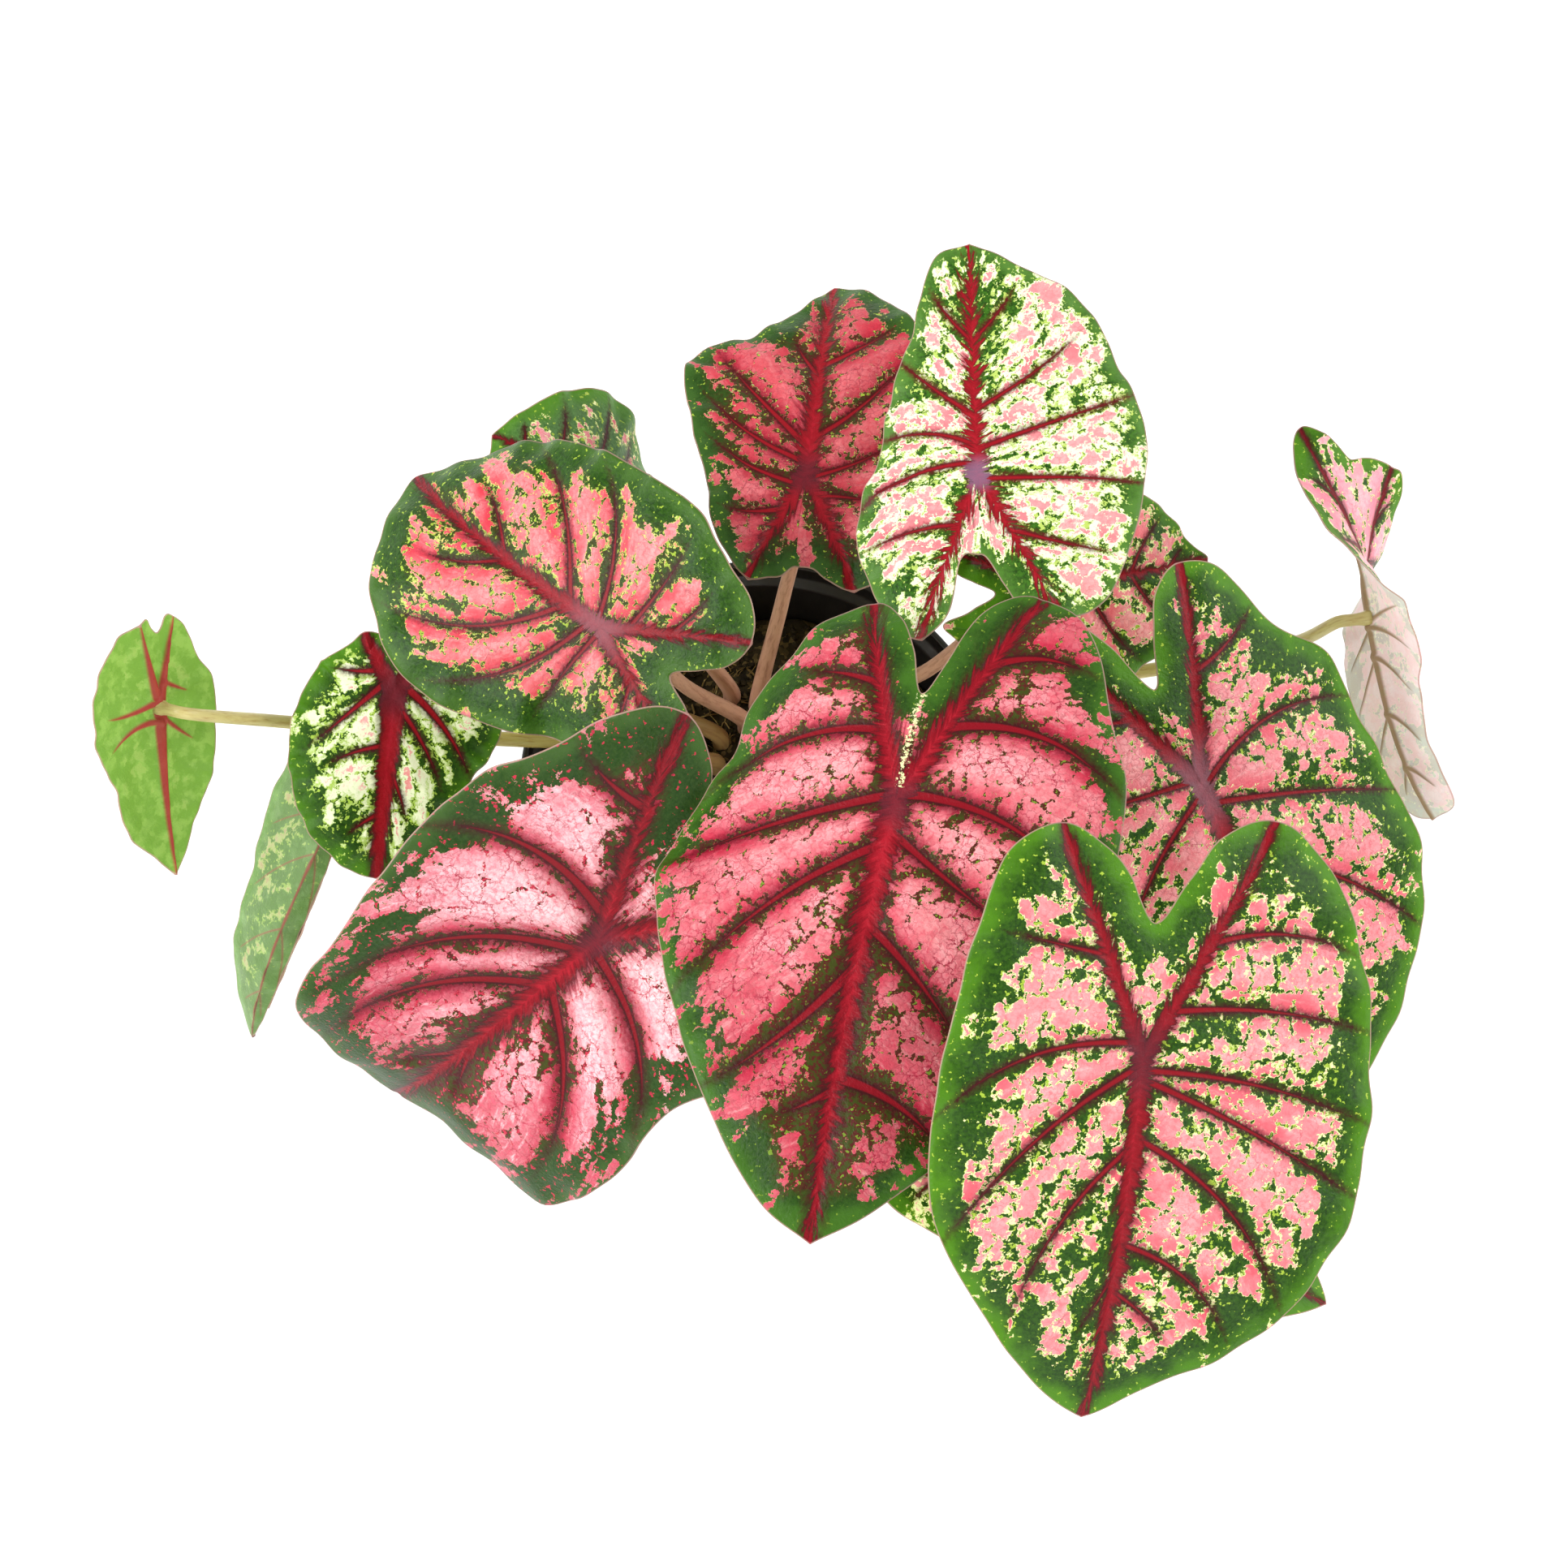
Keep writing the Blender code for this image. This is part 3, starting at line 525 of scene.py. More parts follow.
def blade_mesh(name, leaf, look, seed):
    """The closed blade of one leaf and the direction in which it faces at its stem."""
    veins = look["veins"]
    halves, flats, known = [], [], []
    shared = list(spine_places(veins))
    count = 0
    for side, half_veins, places in zip((1, -1), veins, shared):
        flat, know = half_sheet(leaf, side, half_veins, places, look["rib"], look["lateral"])
        local = bent(leaf, flat, side)
        know["side"] = np.full(len(flat), float(side))
        halves.append(np.array(leaf["at"], float) + local @ np.stack(axes_of(leaf)))
        flats.append(flat * (1, side) + 0.0)
        known.append(know)
    flat, placed = np.concatenate(flats), np.concatenate(halves)
    know = {key: np.concatenate([half[key] for half in known]) for key in known[0]}
    triangles = []
    for side, places in zip((1, -1), shared):
        i = np.arange(len(places) - 1)[:, None] * (COLUMNS + 1) + np.arange(COLUMNS)
        a = (i + count).reshape(-1)
        b, c, d = a + 1, a + COLUMNS + 2, a + COLUMNS + 1
        corners = np.concatenate([np.stack([a, b, c], 1), np.stack([a, c, d], 1)])
        triangles.append(corners if side > 0 else corners[:, ::-1])
        count += len(places) * (COLUMNS + 1)
    corners = np.concatenate(triangles)
    _, first, weld = np.unique(np.round(flat, 3) + 0.0, axis=0, return_index=True, return_inverse=True)
    weld = weld.reshape(-1)
    points = placed[first]
    faces = weld[corners]
    whole = (faces[:, 0] != faces[:, 1]) & (faces[:, 1] != faces[:, 2]) & (faces[:, 2] != faces[:, 0])
    faces, corners = faces[whole], corners[whole]
    normals = point_normals(points, faces)
    if (normals @ axes_of(leaf)[2]).mean() < 0:
        faces, corners, normals = faces[:, ::-1], corners[:, ::-1], -normals
    seat = np.argmin(np.linalg.norm(points - np.array(leaf["at"], float), axis=1))
    facing = normals[seat]

    deep, edge = know["deep"][first], know["edge"][first]
    rib, vein = know["rib"][first], know["vein"][first]
    inside = smoothstep(edge, 0, WAVE_REACH)
    window = np.sin(np.pi * np.clip(know["round"][first], 0, 1)) ** 0.5
    turns = look["waves"] * know["round"][first] * 2 * np.pi
    wave = np.sin(turns + seed) + 0.5 * np.sin(1.7 * turns + 2 * seed)
    height = look["quilt"] * (1 - np.exp(-((deep / QUILT_REACH) ** 2))) * smoothstep(edge, 0, QUILT_END)
    height += look["wave"] * wave * (1 - inside) * window
    height += RIPPLE * puckered(flat_in_space(flat[first]), RIPPLE_SIZE, seed) * smoothstep(edge, 0, 5)
    rib_groove = RIB_GROOVE * np.exp(-(np.maximum(rib + 0.8, 0) ** 2))
    vein_groove = VEIN_GROOVE * np.exp(-(np.maximum(vein + 0.4, 0) ** 2) * 3)
    height -= rib_groove + vein_groove
    thick = EDGE_THICKNESS + (BLADE_THICKNESS - EDGE_THICKNESS) * smoothstep(edge, 0, 3)
    thick = thick + RIB_RIDGE * smoothstep(-rib, -1.0, 1.2) + VEIN_RIDGE * smoothstep(-vein, -0.6, 0.5)
    above = points + normals * height[:, None]
    below = above - normals * thick[:, None]

    total = len(points)
    edges = np.concatenate([faces[:, [0, 1]], faces[:, [1, 2]], faces[:, [2, 0]]])
    sources = np.concatenate([corners[:, [0, 1]], corners[:, [1, 2]], corners[:, [2, 0]]])
    there = set(map(tuple, edges.tolist()))
    rim = np.array([(b, a) not in there for a, b in edges.tolist()])
    (a, b), (sa, sb) = edges[rim].T, sources[rim].T
    wall = np.concatenate([np.stack([b, a, a + total], 1), np.stack([b, a + total, b + total], 1)])
    wall_source = np.concatenate([np.stack([sb, sa, sa], 1), np.stack([sb, sa, sb], 1)])
    all_faces = np.concatenate([faces, faces[:, ::-1] + total, wall])
    all_sources = np.concatenate([corners, corners[:, ::-1], wall_source]).reshape(-1)
    under = np.repeat((0.0, 1.0, 0.5), (len(faces) * 3, len(faces) * 3, len(wall) * 3))
    mesh = bpy.data.meshes.new(name)
    mesh.from_pydata((np.concatenate([above, below]) * MM).tolist(), [], all_faces.tolist())
    mesh.shade_smooth()
    shift = LEAVES_APART * seed
    across = know["across"] + HALVES_APART * (know["side"] + 1)
    vectors = {
        "flat": np.stack([flat[:, 0] + shift, flat[:, 1], np.zeros(len(flat))], 1),
        "grain": np.stack([know["along"] + shift, across, know["side"]], 1),
    }
    for key in ("rib", "vein", "edge"):
        mesh.attributes.new(key, "FLOAT", "CORNER").data.foreach_set("value", know[key][all_sources])
    mesh.attributes.new("under", "FLOAT", "CORNER").data.foreach_set("value", under)
    for key, values in vectors.items():
        layer = mesh.attributes.new(key, "FLOAT_VECTOR", "CORNER")
        layer.data.foreach_set("vector", values[all_sources].reshape(-1))
    return mesh, facing


def flat_in_space(flat):
    return np.concatenate([flat, np.zeros((len(flat), 1))], axis=1)

# %% [markdown]
# ## The colours of a leaf
# The blotches of a caladium are patches of tissue without green, pink or cream, that stop short
# of the veins and of the margin. Their outlines are jagged, because they follow the smallest
# mesh of veins, and most have a pale cream line round them. The finish makes one field, a
# number for each point that says how far the tissue there lacks green: broad and fine noise, less
# near a vein and near the margin. Below zero it is green, a little above it cream, and further
# up pink. So small peaks of the noise become the pale specks that scatter round each patch. One
# function makes the finish and a table of looks gives each leaf its own colours and sizes,
# because the youngest leaves are greener and paler than the old ones.

# %% The looks of the leaves
# rib: half the width of the midrib at the stem and at the tip. lateral: half the width of a side
# vein. veins: for each half, where its side veins run. quilt, wave, waves: the height of the
# fields between veins, and the height and number of the margin's waves.
# cover: how much of the blade is pale. broad, fine: how strongly the two noises count. blotch,
# grain: their sizes. vein_green, band: how far the green keeps beside the veins. margin: the
# width of the green margin. outline: how much of each patch's edge is cream. specks, network,
# halo, middle: how strong the pale specks, the fine red mesh, the dark seam beside the veins and
# the pale middle of each field are. That pale middle is partly the tissue's own and partly a
# painted highlight on the bulge of the field. cracks, flush: how strongly green runs in along the
# mesh, and how far the pink deepens towards the veins. spine_green, spine_band: the green that
# widens along the midrib towards the tip. fray: how far the midrib's red runs out in streaks.
# olive: how brown the green is between the veins. under, under_light, under_vein, veil: the
# colours of the underside and how much they hide. turned: 1 where a blade is rolled over, so that
# its upper face looks like the underside. far_deep, near_white: how far the pink deepens away
# from the stem and pales near it. stretched: 1 where the patches run along the side veins. hub,
# hub_size: the colour over the stem and how far it reaches, its own dark maroon on most blades
# and a painted sheen on those whose look gives a paler one. rim, rim_width: the colour and width
# of the painted light along the margin, for light that shines through the thin edge. streak: 1
# for a cream streak in the notch. The rest are sizes in millimetres, a roughness and colours.
SIDE_VEINS = (
    (1, 1, 0.1, 0.6), (2, 1.8, 0.15, 0.75), (3.2, 2.7, 0.15, 0.8), (4.1, 3.6, 0.15, 0.8),
    (4.7, 4.6, 0.1, 0.75), (6, 5.6, 0.15, 0.7), (7, 6.7, 0.1, 0.6),
)
PLAIN_LOOK = dict(
    rib=(1.5, 0.4), lateral=0.75, veins=(SIDE_VEINS, SIDE_VEINS), quilt=1.6, wave=0.8, waves=9,
    pink="#E0606C", blush="#EE8A90", white="#F4C2BE", deep="#C83A50", cream="#EEF0B0", lime="#9DB83C",
    green="#1A3A08", light_green="#30560E", rim="#4E8412", olive=0.0, red="#860A18",
    scarlet="#AA1828", maroon="#3A0A0E", net="#981834", under="#86AC52", under_light="#A4C070",
    under_vein="#A02C3C", veil=0.72,
    turned=0.0, hub="#46202A", hub_size=10.0, streak=0.0, far_deep=0.1, near_white=0.1, stretched=0.0,
    cover=0.19, broad=1.4, fine=2.1, blotch=14.0, grain=4.4, cell=0.8, outline=0.13, band=3.5,
    vein_green=0.25, spine_green=0.1, spine_band=9.0, margin=7.0, halo=1.8, fray=3.0, specks=0.6,
    network=0.35, cracks=0.5, middle=0.4, flush=0.25, rim_width=7.0, rough=0.38,
)
LOOKS = {
    "front_right": dict(
        rib=(2.6, 1.0), lateral=1.0, margin=8.0, cover=0.25, grain=5.0, halo=2.2, network=0.45, hub_size=14.0,
        veins=(
            ((1.4, 1.3, 0.15, 0.53), (1.9, 1.7, 0.25, 0.74), (3.1, 2.2, 0.2, 0.81), (4.0, 3.4, 0.05, 0.89),
             (4.4, 4.1, 0.1, 0.84), (5.6, 5.0, 0.1, 0.85), (6.6, 5.9, 0.2, 0.78)),
            ((1.6, 1.0, 0.0, 0.4), (3.0, 1.6, 0.2, 0.73), (4.7, 2.7, 0.15, 0.86), (5.2, 3.9, 0.25, 0.83),
             (6.4, 6.1, 0.0, 0.63)),
        ),
    ),
    "centre": dict(
        rib=(3.6, 1.2), lateral=1.7, pink="#DC445C", blush="#EC7A8A", deep="#A81432", cover=0.58,
        far_deep=0.7, near_white=0.3, vein_green=0.55, band=6.5, outline=0.008, margin=6.0, network=1.0,
        cracks=0.65, specks=0.3,
        red="#820818", halo=3.0, fray=4.0, flush=0.95, lime="#6E8A28", olive=0.85, spine_green=0.62,
        spine_band=19.0, rim="#3E6A1A", light_green="#2C4C12", streak=1.0,
        veins=(
            ((1.3, 1.7, 0.2, 0.83), (2.7, 2.2, 0.1, 0.61), (3.9, 3.4, -0.05, 0.57), (5.1, 3.9, 0.25, 0.75),
             (6.0, 4.9, 0.3, 0.81), (7.2, 6.4, 0.3, 0.73)),
            ((1.2, 1.7, -0.15, 0.4), (2.3, 2.0, -0.1, 0.83), (3.7, 2.8, 0.15, 0.77), (5.1, 4.0, 0.05, 0.79),
             (6.0, 4.5, 0.3, 0.71), (6.9, 6.3, 0.15, 0.56)),
        ),
    ),
    "front_left": dict(
        rib=(3.2, 1.0), lateral=1.7, pink="#DC4C66", blush="#EC8496", deep="#A41230", cover=0.60,
        far_deep=0.8, near_white=0.75, white="#F8D2D4", vein_green=0.55, band=7.0, outline=0.008, margin=12.0,
        network=0.9, specks=0.9, stretched=1.0, red="#7C0A18", halo=3.4, fray=4.0, flush=0.95,
        lime="#B42A40", olive=0.9, spine_green=0.75, spine_band=22.0, middle=0.6, rim="#3C5A24",
        light_green="#2C4616",
        veins=(
            ((1.8, 1.0, 0.05, 0.4), (3.2, 1.8, 0.3, 0.6), (4.5, 3.3, 0.3, 0.7), (6.2, 5.6, 0.2, 0.6)),
            ((1.6, 1.0, 0.1, 0.4), (3.1, 1.5, 0.3, 0.71), (4.0, 2.0, 0.3, 0.63), (5.3, 4.3, 0.3, 0.83),
             (7.0, 6.3, -0.15, 0.65)),
        ),
    ),
    "left": dict(
        rib=(2.4, 0.7), lateral=1.1, pink="#D83A48", blush="#E05A64", cover=0.28, outline=0.07, margin=8.0,
        # Painted sheen: the greyish pink hub colour over the stem.
        hub="#8E5660", hub_size=14.0, grain=5.0, stretched=1.0,
        network=0.5, cream="#D0D878", flush=0.5, olive=0.3, rim="#456A26", halo=2.2,
        veins=(
            ((2.2, 1.2, 0.2, 0.5), (3.5, 2.1, 0.2, 0.75), (4.4, 3.0, 0.2, 0.72), (5.1, 4.4, -0.05, 0.65),
             (6.2, 5.8, 0.1, 0.5)),
            ((2.2, 1.2, 0.2, 0.5), (3.6, 2.2, 0.25, 0.72), (4.9, 3.3, 0.3, 0.7), (5.6, 5.2, 0.1, 0.62),
             (6.6, 6.4, 0.1, 0.5)),
        ),
    ),
    "back": dict(
        rib=(2.9, 0.8), lateral=1.3, pink="#D23848", blush="#DE5864", cover=0.44, margin=4.5, deep="#9C162C",
        far_deep=0.5, middle=0.15, vein_green=0.42, band=5.0, network=0.8, outline=0.02, specks=0.3,
        flush=0.9, red="#960E1C", scarlet="#B01628", maroon="#4A0A0E", fray=4.0, olive=0.8,
        spine_green=0.3, rim="#3E6424", light_green="#2C4C16",
        veins=(
            ((2.0, 1.4, 0.15, 0.5), (3.6, 2.6, 0.05, 0.79), (4.0, 3.1, 0.2, 0.64), (5.3, 3.7, 0.25, 0.59),
             (6.0, 5.5, 0.2, 0.69)),
            ((1.8, 1.8, 0.1, 0.7), (3.4, 2.2, 0.15, 0.67), (5.1, 3.3, 0.2, 0.5), (5.6, 5.6, -0.1, 0.45)),
        ),
    ),
    "back_right": dict(
        # Painted sheen: the greyish purple hub colour over the stem.
        hub="#7C6C88", hub_size=7.0, rib=(2.3, 0.7), lateral=0.85, stretched=1.0,
        pink="#E47A80", blush="#EE9C9C", cover=0.40, outline=0.42, margin=2.0,
        cream="#F0F3D4", lime="#B4CC60", fray=6.0, spine_green=0.5, spine_band=12.0, red="#920E1A",
        light_green="#3C6E18", specks=0.9, fine=2.4, grain=3.8, maroon="#560E12", rim="#568232",
        veins=(
            ((1.6, 1.3, 0.1, 0.7), (2.9, 2.5, 0.05, 0.95), (3.6, 3.8, -0.2, 0.94), (4.1, 4.9, -0.2, 0.97),
             (6.0, 5.8, -0.15, 0.81)),
            ((1.6, 1.2, 0.1, 0.6), (2.8, 2.3, 0.1, 0.71), (3.7, 3.5, 0.0, 0.92), (5.1, 4.8, 0.0, 0.92),
             (6.2, 6.2, 0.05, 0.75)),
        ),
    ),
    "right": dict(
        # Painted sheen: the greyish pink hub colour over the stem.
        hub="#85606C", hub_size=17.0, rib=(2.6, 0.9), lateral=1.0,
        pink="#E05C6C", blush="#EA808C", cover=0.26, network=0.6, outline=0.08,
        veins=(
            ((1.6, 1.2, 0.15, 0.6), (3.1, 2.4, 0.15, 0.9), (4.0, 3.6, 0.05, 0.92), (4.8, 4.5, 0.3, 0.87),
             (6.6, 6.4, -0.15, 0.8)),
            ((1.8, 1.2, 0.15, 0.6), (3.2, 2.1, 0.15, 0.7), (4.7, 3.2, 0.2, 0.8), (5.1, 5.1, 0.0, 0.8),
             (6.3, 6.1, 0.1, 0.6)),
        ),
    ),
    "right_behind": dict(pink="#E2606C", blush="#EE8890", cover=0.24, margin=4.0),
    "left_low": dict(
        pink="#E88E88", blush="#F2B0A8", cover=0.26, outline=0.62, margin=5.0, cream="#EFF4CE",
        lime="#A4C448", fray=1.5,
        rib=(3.2, 1.4), lateral=1.3, grain=4.6, stretched=1.0, network=0.1, red="#900A18", scarlet="#A81426",
        veins=(
            ((2.4, 1.2, 0.1, 0.5), (4.2, 2.1, 0.15, 0.6), (5.4, 3.0, 0.15, 0.9), (6.4, 5.6, 0.1, 0.6)),
            ((1.4, 1.5, 0.1, 0.5), (2.8, 2.7, 0.2, 0.5), (5.6, 3.2, 0.0, 0.68), (6.2, 5.2, -0.15, 0.65)),
        ),
    ),
    "left_hanging": dict(
        pink="#C8785E", blush="#C98A70", cover=-0.06, margin=3.0, veil=0.66, turned=1.0, under="#6E8C52",
        under_light="#7E9C62", under_vein="#8C4A42", rib=(0.5, 0.3), lateral=0.12, fray=0.6, halo=0.8,
        wave=0.3, specks=0.2, outline=0.3, cream="#D0C088",
    ),
    "back_left": dict(
        pink="#D8606C", blush="#E0848C", cover=0.08, margin=3.0, green="#3E6430", light_green="#567C40",
        fray=2.0,
    ),
    "far_left": dict(
        pink="#D8606C", blush="#E0848C", cover=-0.2, margin=4.0, veil=0.95, under="#78A63E",
        under_light="#90BA52", under_vein="#A21630", rib=(2.1, 0.2), lateral=1.0, fray=1.2, halo=0.8,
        wave=0.3,
        veins=(
            ((3.8, 3.6, 0.25, 0.77), (5.2, 4.7, -0.15, 0.74)),
            ((4.1, 3.5, -0.05, 0.6), (5.8, 4.6, -0.05, 0.47), (6.6, 7.2, 0.3, 0.43)),
        ),
    ),
    "far_right": dict(pink="#EC8496", blush="#F6AEBA", cover=0.50, margin=2.0, rib=(1.2, 0.5), fray=1.0,
                      under="#FFF2EE", under_light="#FFFDFA", under_vein="#94764E", veil=0.68, wave=0.3),
    "front_hidden": dict(pink="#EA868C", blush="#F4A8A8", cover=0.3, outline=0.3, margin=4.0),
}


# %% The finish of a blade
# A caladium blade is a thin, soft leaf with a waxy skin: evenly coloured by its own cells, with
# a satin gloss that shows each small bulge between its veins. The gloss is under half of what a
# smooth skin of the same IOR has, so that the dark reds and greens keep their depth.
LEAF_IOR = 1.42
WAX_GLOSS = 0.22
SNAP_TO_CELLS = 0.35
STRAY = 16.0
FEATHER = 2.4
BRANCH_MESH = 6.0
FINE_MESH = 1.9
OLIVE_BROWN = "#3E4210"
RED_BROWN = "#580E18"
EDGE_LINE = "#B98F86"
VEIN_RELIEF = 0.3


def caladium_blade(name, look, seed):
    material, put = new_finish(name)
    ramp = functools.partial(put, "ShaderNodeMapRange", interpolation_type="SMOOTHSTEP")
    mixed = functools.partial(put, "ShaderNodeMixRGB")
    total = functools.partial(put, "ShaderNodeMath", operation="ADD")
    product = functools.partial(put, "ShaderNodeMath", operation="MULTIPLY")
    scaled = functools.partial(put, "ShaderNodeMath", operation="MULTIPLY_ADD")
    clouds = functools.partial(put, "ShaderNodeTexNoise", noise_dimensions="2D")
    voronoi = functools.partial(put, "ShaderNodeTexVoronoi", voronoi_dimensions="2D")
    known = {
        key: put("ShaderNodeAttribute", attribute_name=key, out="Fac")
        for key in ("rib", "vein", "edge", "under")
    }
    flat = put("ShaderNodeAttribute", attribute_name="flat", out="Vector")
    along = put("ShaderNodeAttribute", attribute_name="grain", out="Vector")
    stem_place = (LEAVES_APART * seed, 0.0, 0.0)
    hub = put("ShaderNodeVectorMath", flat, stem_place, operation="DISTANCE", out="Value")

    # Places in millimetres, on the flat blade and along the side veins, both made ragged by
    # waves of two millimetres and then partly snapped to the smallest cells.
    waver = clouds(flat, out="Color", inputs={"Scale": 0.5, "Detail": 4.0, "Roughness": 0.65})
    waver = put("ShaderNodeVectorMath", waver, (0.5, 0.5, 0.5), operation="SUBTRACT")
    ragged = put("ShaderNodeVectorMath", waver, (3.2, 3.2, 0.0), flat, operation="MULTIPLY_ADD")
    cells = voronoi(ragged, inputs={"Scale": 1 / look["cell"]}, out="Position")
    snapped = mixed(SNAP_TO_CELLS, ragged, cells)
    streaky = put("ShaderNodeVectorMath", along, (0.6, 1.0, 1.0), operation="MULTIPLY")
    streaky = put("ShaderNodeVectorMath", waver, (4.0, 4.0, 0.0), streaky, operation="MULTIPLY_ADD")
    broad = clouds(streaky, inputs={"Scale": 1 / look["blotch"], "Detail": 2.0, "Roughness": 0.55})
    fine = clouds(streaky if look["stretched"] else snapped,
                  inputs={"Scale": 1 / look["grain"], "Detail": 3.5, "Roughness": 0.60})
    soft = clouds(flat, inputs={"Scale": 0.11, "Detail": 3.0})
    grit = clouds(flat, inputs={"Scale": 0.9, "Detail": 4.0, "Roughness": 0.7})
    peaks = clouds(flat, inputs={"Scale": 0.62, "Detail": 2.0, "Roughness": 0.6})

    # Distances to the nearest vein and to the margin, made a little ragged. The midrib's edge
    # frays into streaks that run out along the side veins.
    feather = scaled(grit, FEATHER, -FEATHER / 2)
    streak = put("ShaderNodeVectorMath", along, (0.10, 0.42, 1.0), operation="MULTIPLY")
    streak = clouds(streak, inputs={"Scale": 1.0, "Detail": 4.0, "Roughness": 0.7})
    core = total(known["rib"], scaled(streak, -2 * look["fray"], look["fray"]))
    core = scaled(feather, 0.4, core)
    side = total(feather, known["vein"])
    near = put("ShaderNodeMath", core, side, operation="MINIMUM")
    free = ramp(near, 0.0, look["band"], -look["vein_green"], 0.0)
    strayed = scaled(broad, STRAY, known["edge"])
    inner = ramp(strayed, look["margin"] + 5.0, look["margin"] + 13.0, -0.75, 0.0)

    # The field: how far the tissue lacks green.
    field = scaled(broad, look["broad"], look["cover"] - (look["broad"] + look["fine"]) / 2)
    field = scaled(fine, look["fine"], field)
    spine = ramp(core, 1.0, look["spine_band"], -look["spine_green"], 0.0)
    tipward = product(spine, ramp(hub, 12.0, 60.0, 0.0, 1.0))
    for lack in (free, inner, tipward):
        field = total(field, lack)

    # Cracks of green run along the mesh of small veins, where the tissue between them is pale.
    mesh_lines = {
        size: voronoi(ragged, inputs={"Scale": 1 / size}, out="Distance", feature="DISTANCE_TO_EDGE")
        for size in (BRANCH_MESH, FINE_MESH)
    }
    crack = ramp(mesh_lines[BRANCH_MESH], 0.02, 0.17, -look["cracks"], 0.0)
    field = total(field, product(crack, ramp(peaks, 0.36, 0.60, 0.0, 1.0)))

    # Green tissue: mottled, darkest beside the veins, with light specks. Along the rim it is painted lighter
    # and brighter, for the light that shines through the thin margin.
    green = mixed(ramp(grit, 0.3, 0.7, 0.0, 1.0), linear(look["green"]), linear(look["light_green"]))
    brown = mixed(ramp(peaks, 0.44, 0.56, 0.0, 1.0), linear(OLIVE_BROWN), linear(RED_BROWN))
    within = ramp(strayed, look["margin"] + 6.0, look["margin"] + 14.0, 0.0, look["olive"])
    green = mixed(within, green, brown)
    # Painted light: a band of brighter green along the margin stands in for light shining through the thin
    # edge.
    lit = scaled(soft, 9.0, known["edge"])
    green = mixed(ramp(lit, look["rim_width"] + 4.0, 4.5, 0.0, 0.85), green, linear(look["rim"]))
    close = product(ramp(field, -0.6, -0.05, 0.0, look["specks"]), ramp(known["edge"], 2.0, 9.0, 0.35, 1.0))
    dots = scaled(close, 0.16, peaks)
    green = mixed(ramp(dots, 0.68, 0.72, 0.0, 1.0), green, linear(look["lime"]))

    # Pale tissue: cream round each patch, and pink inside it with a pale middle, partly the tissue's own
    # paler colour and partly a painted highlight on the bulge of each field.
    pink = mixed(ramp(soft, 0.35, 0.65, 0.0, 1.0), linear(look["pink"]), linear(look["blush"]))
    # Partly painted highlight: the pink pales away from the veins, where each field bulges up.
    middle = ramp(scaled(soft, 9.0, near), 5.0, 12.0, 0.0, look["middle"])
    pink = mixed(middle, pink, linear(look["white"]))
    distant = scaled(fine, 60.0, hub)
    pink = mixed(ramp(distant, 40.0, 80.0, look["near_white"], 0.0), pink, linear(look["white"]))
    pink = mixed(ramp(distant, 55.0, 105.0, 0.0, look["far_deep"]), pink, linear(look["deep"]))
    pink = mixed(ramp(grit, 0.45, 0.7, 0.0, 0.35), pink, linear(look["pink"]))
    pink = mixed(ramp(streak, 0.52, 0.75, 0.0, look["middle"]), pink, linear(look["white"]))
    grains = voronoi(ragged, inputs={"Scale": 0.9}, out="Distance")
    pink = mixed(ramp(grains, 0.3, 0.9, 0.0, 0.45), pink, linear(look["pink"]))
    blushed = ramp(scaled(fine, 9.0, near), look["band"] + 5.0, 4.5, 0.0, look["flush"])
    pink = mixed(blushed, pink, linear(look["deep"]))
    for lines, width, share in zip(mesh_lines.values(), (0.05, 0.13), (1.0, 0.7)):
        shown = ramp(soft, 0.40, 0.62, 0.35 * share * look["network"], share * look["network"])
        pink = mixed(product(ramp(lines, 0.0, width, 1.0, 0.0), shown), pink, linear(look["net"]))
    outline = look["outline"]
    skin = mixed(ramp(field, 0.0, outline * 0.6, 0.0, 1.0), linear(look["lime"]), linear(look["cream"]))
    pale = mixed(ramp(field, outline * 0.8, outline * 1.1, 0.0, 1.0), skin, pink)
    colour = mixed(ramp(field, -0.012, 0.006, 0.0, 1.0), green, pale)

    # The underside: paler, with only the main pattern showing through and ridges for veins.
    back = mixed(ramp(fine, 0.42, 0.66, 0.0, 1.0), linear(look["under"]), linear(look["under_light"]))
    back = mixed(look["veil"], colour, back)
    ridge = put("ShaderNodeMath", known["rib"], known["vein"], operation="MINIMUM")
    back = mixed(ramp(ridge, -0.3, 0.5, 0.9, 0.0), back, linear(look["under_vein"]))

    # Veins: a dark seam that frays on both sides, red flesh, and a clearer line in the middle. On the midrib
    # the scarlet middle and maroon sides are partly its own colour and partly painted: a highlight along its
    # crest and shade on its flanks.
    colour = mixed(ramp(near, 0.2, look["halo"], 0.6, 0.0), colour, linear(look["maroon"]))
    colour = mixed(ramp(near, 0.0, 0.6, 0.85, 0.0), colour, linear(look["maroon"]))
    flesh = mixed(ramp(known["vein"], -0.55, 0.0, 0.0, 1.0), linear(look["red"]), linear(look["maroon"]))
    colour = mixed(ramp(known["vein"], -0.2, 0.2, 1.0, 0.0), colour, flesh)
    # Partly painted light: the midrib turns maroon towards its sides and scarlet in its middle, as a rounded
    # rib looks under light.
    flesh = mixed(ramp(core, -1.2, 0.3, 0.0, 0.75), linear(look["red"]), linear(look["maroon"]))
    flesh = mixed(ramp(core, -3.2, -1.2, 0.8, 0.0), flesh, linear(look["scarlet"]))
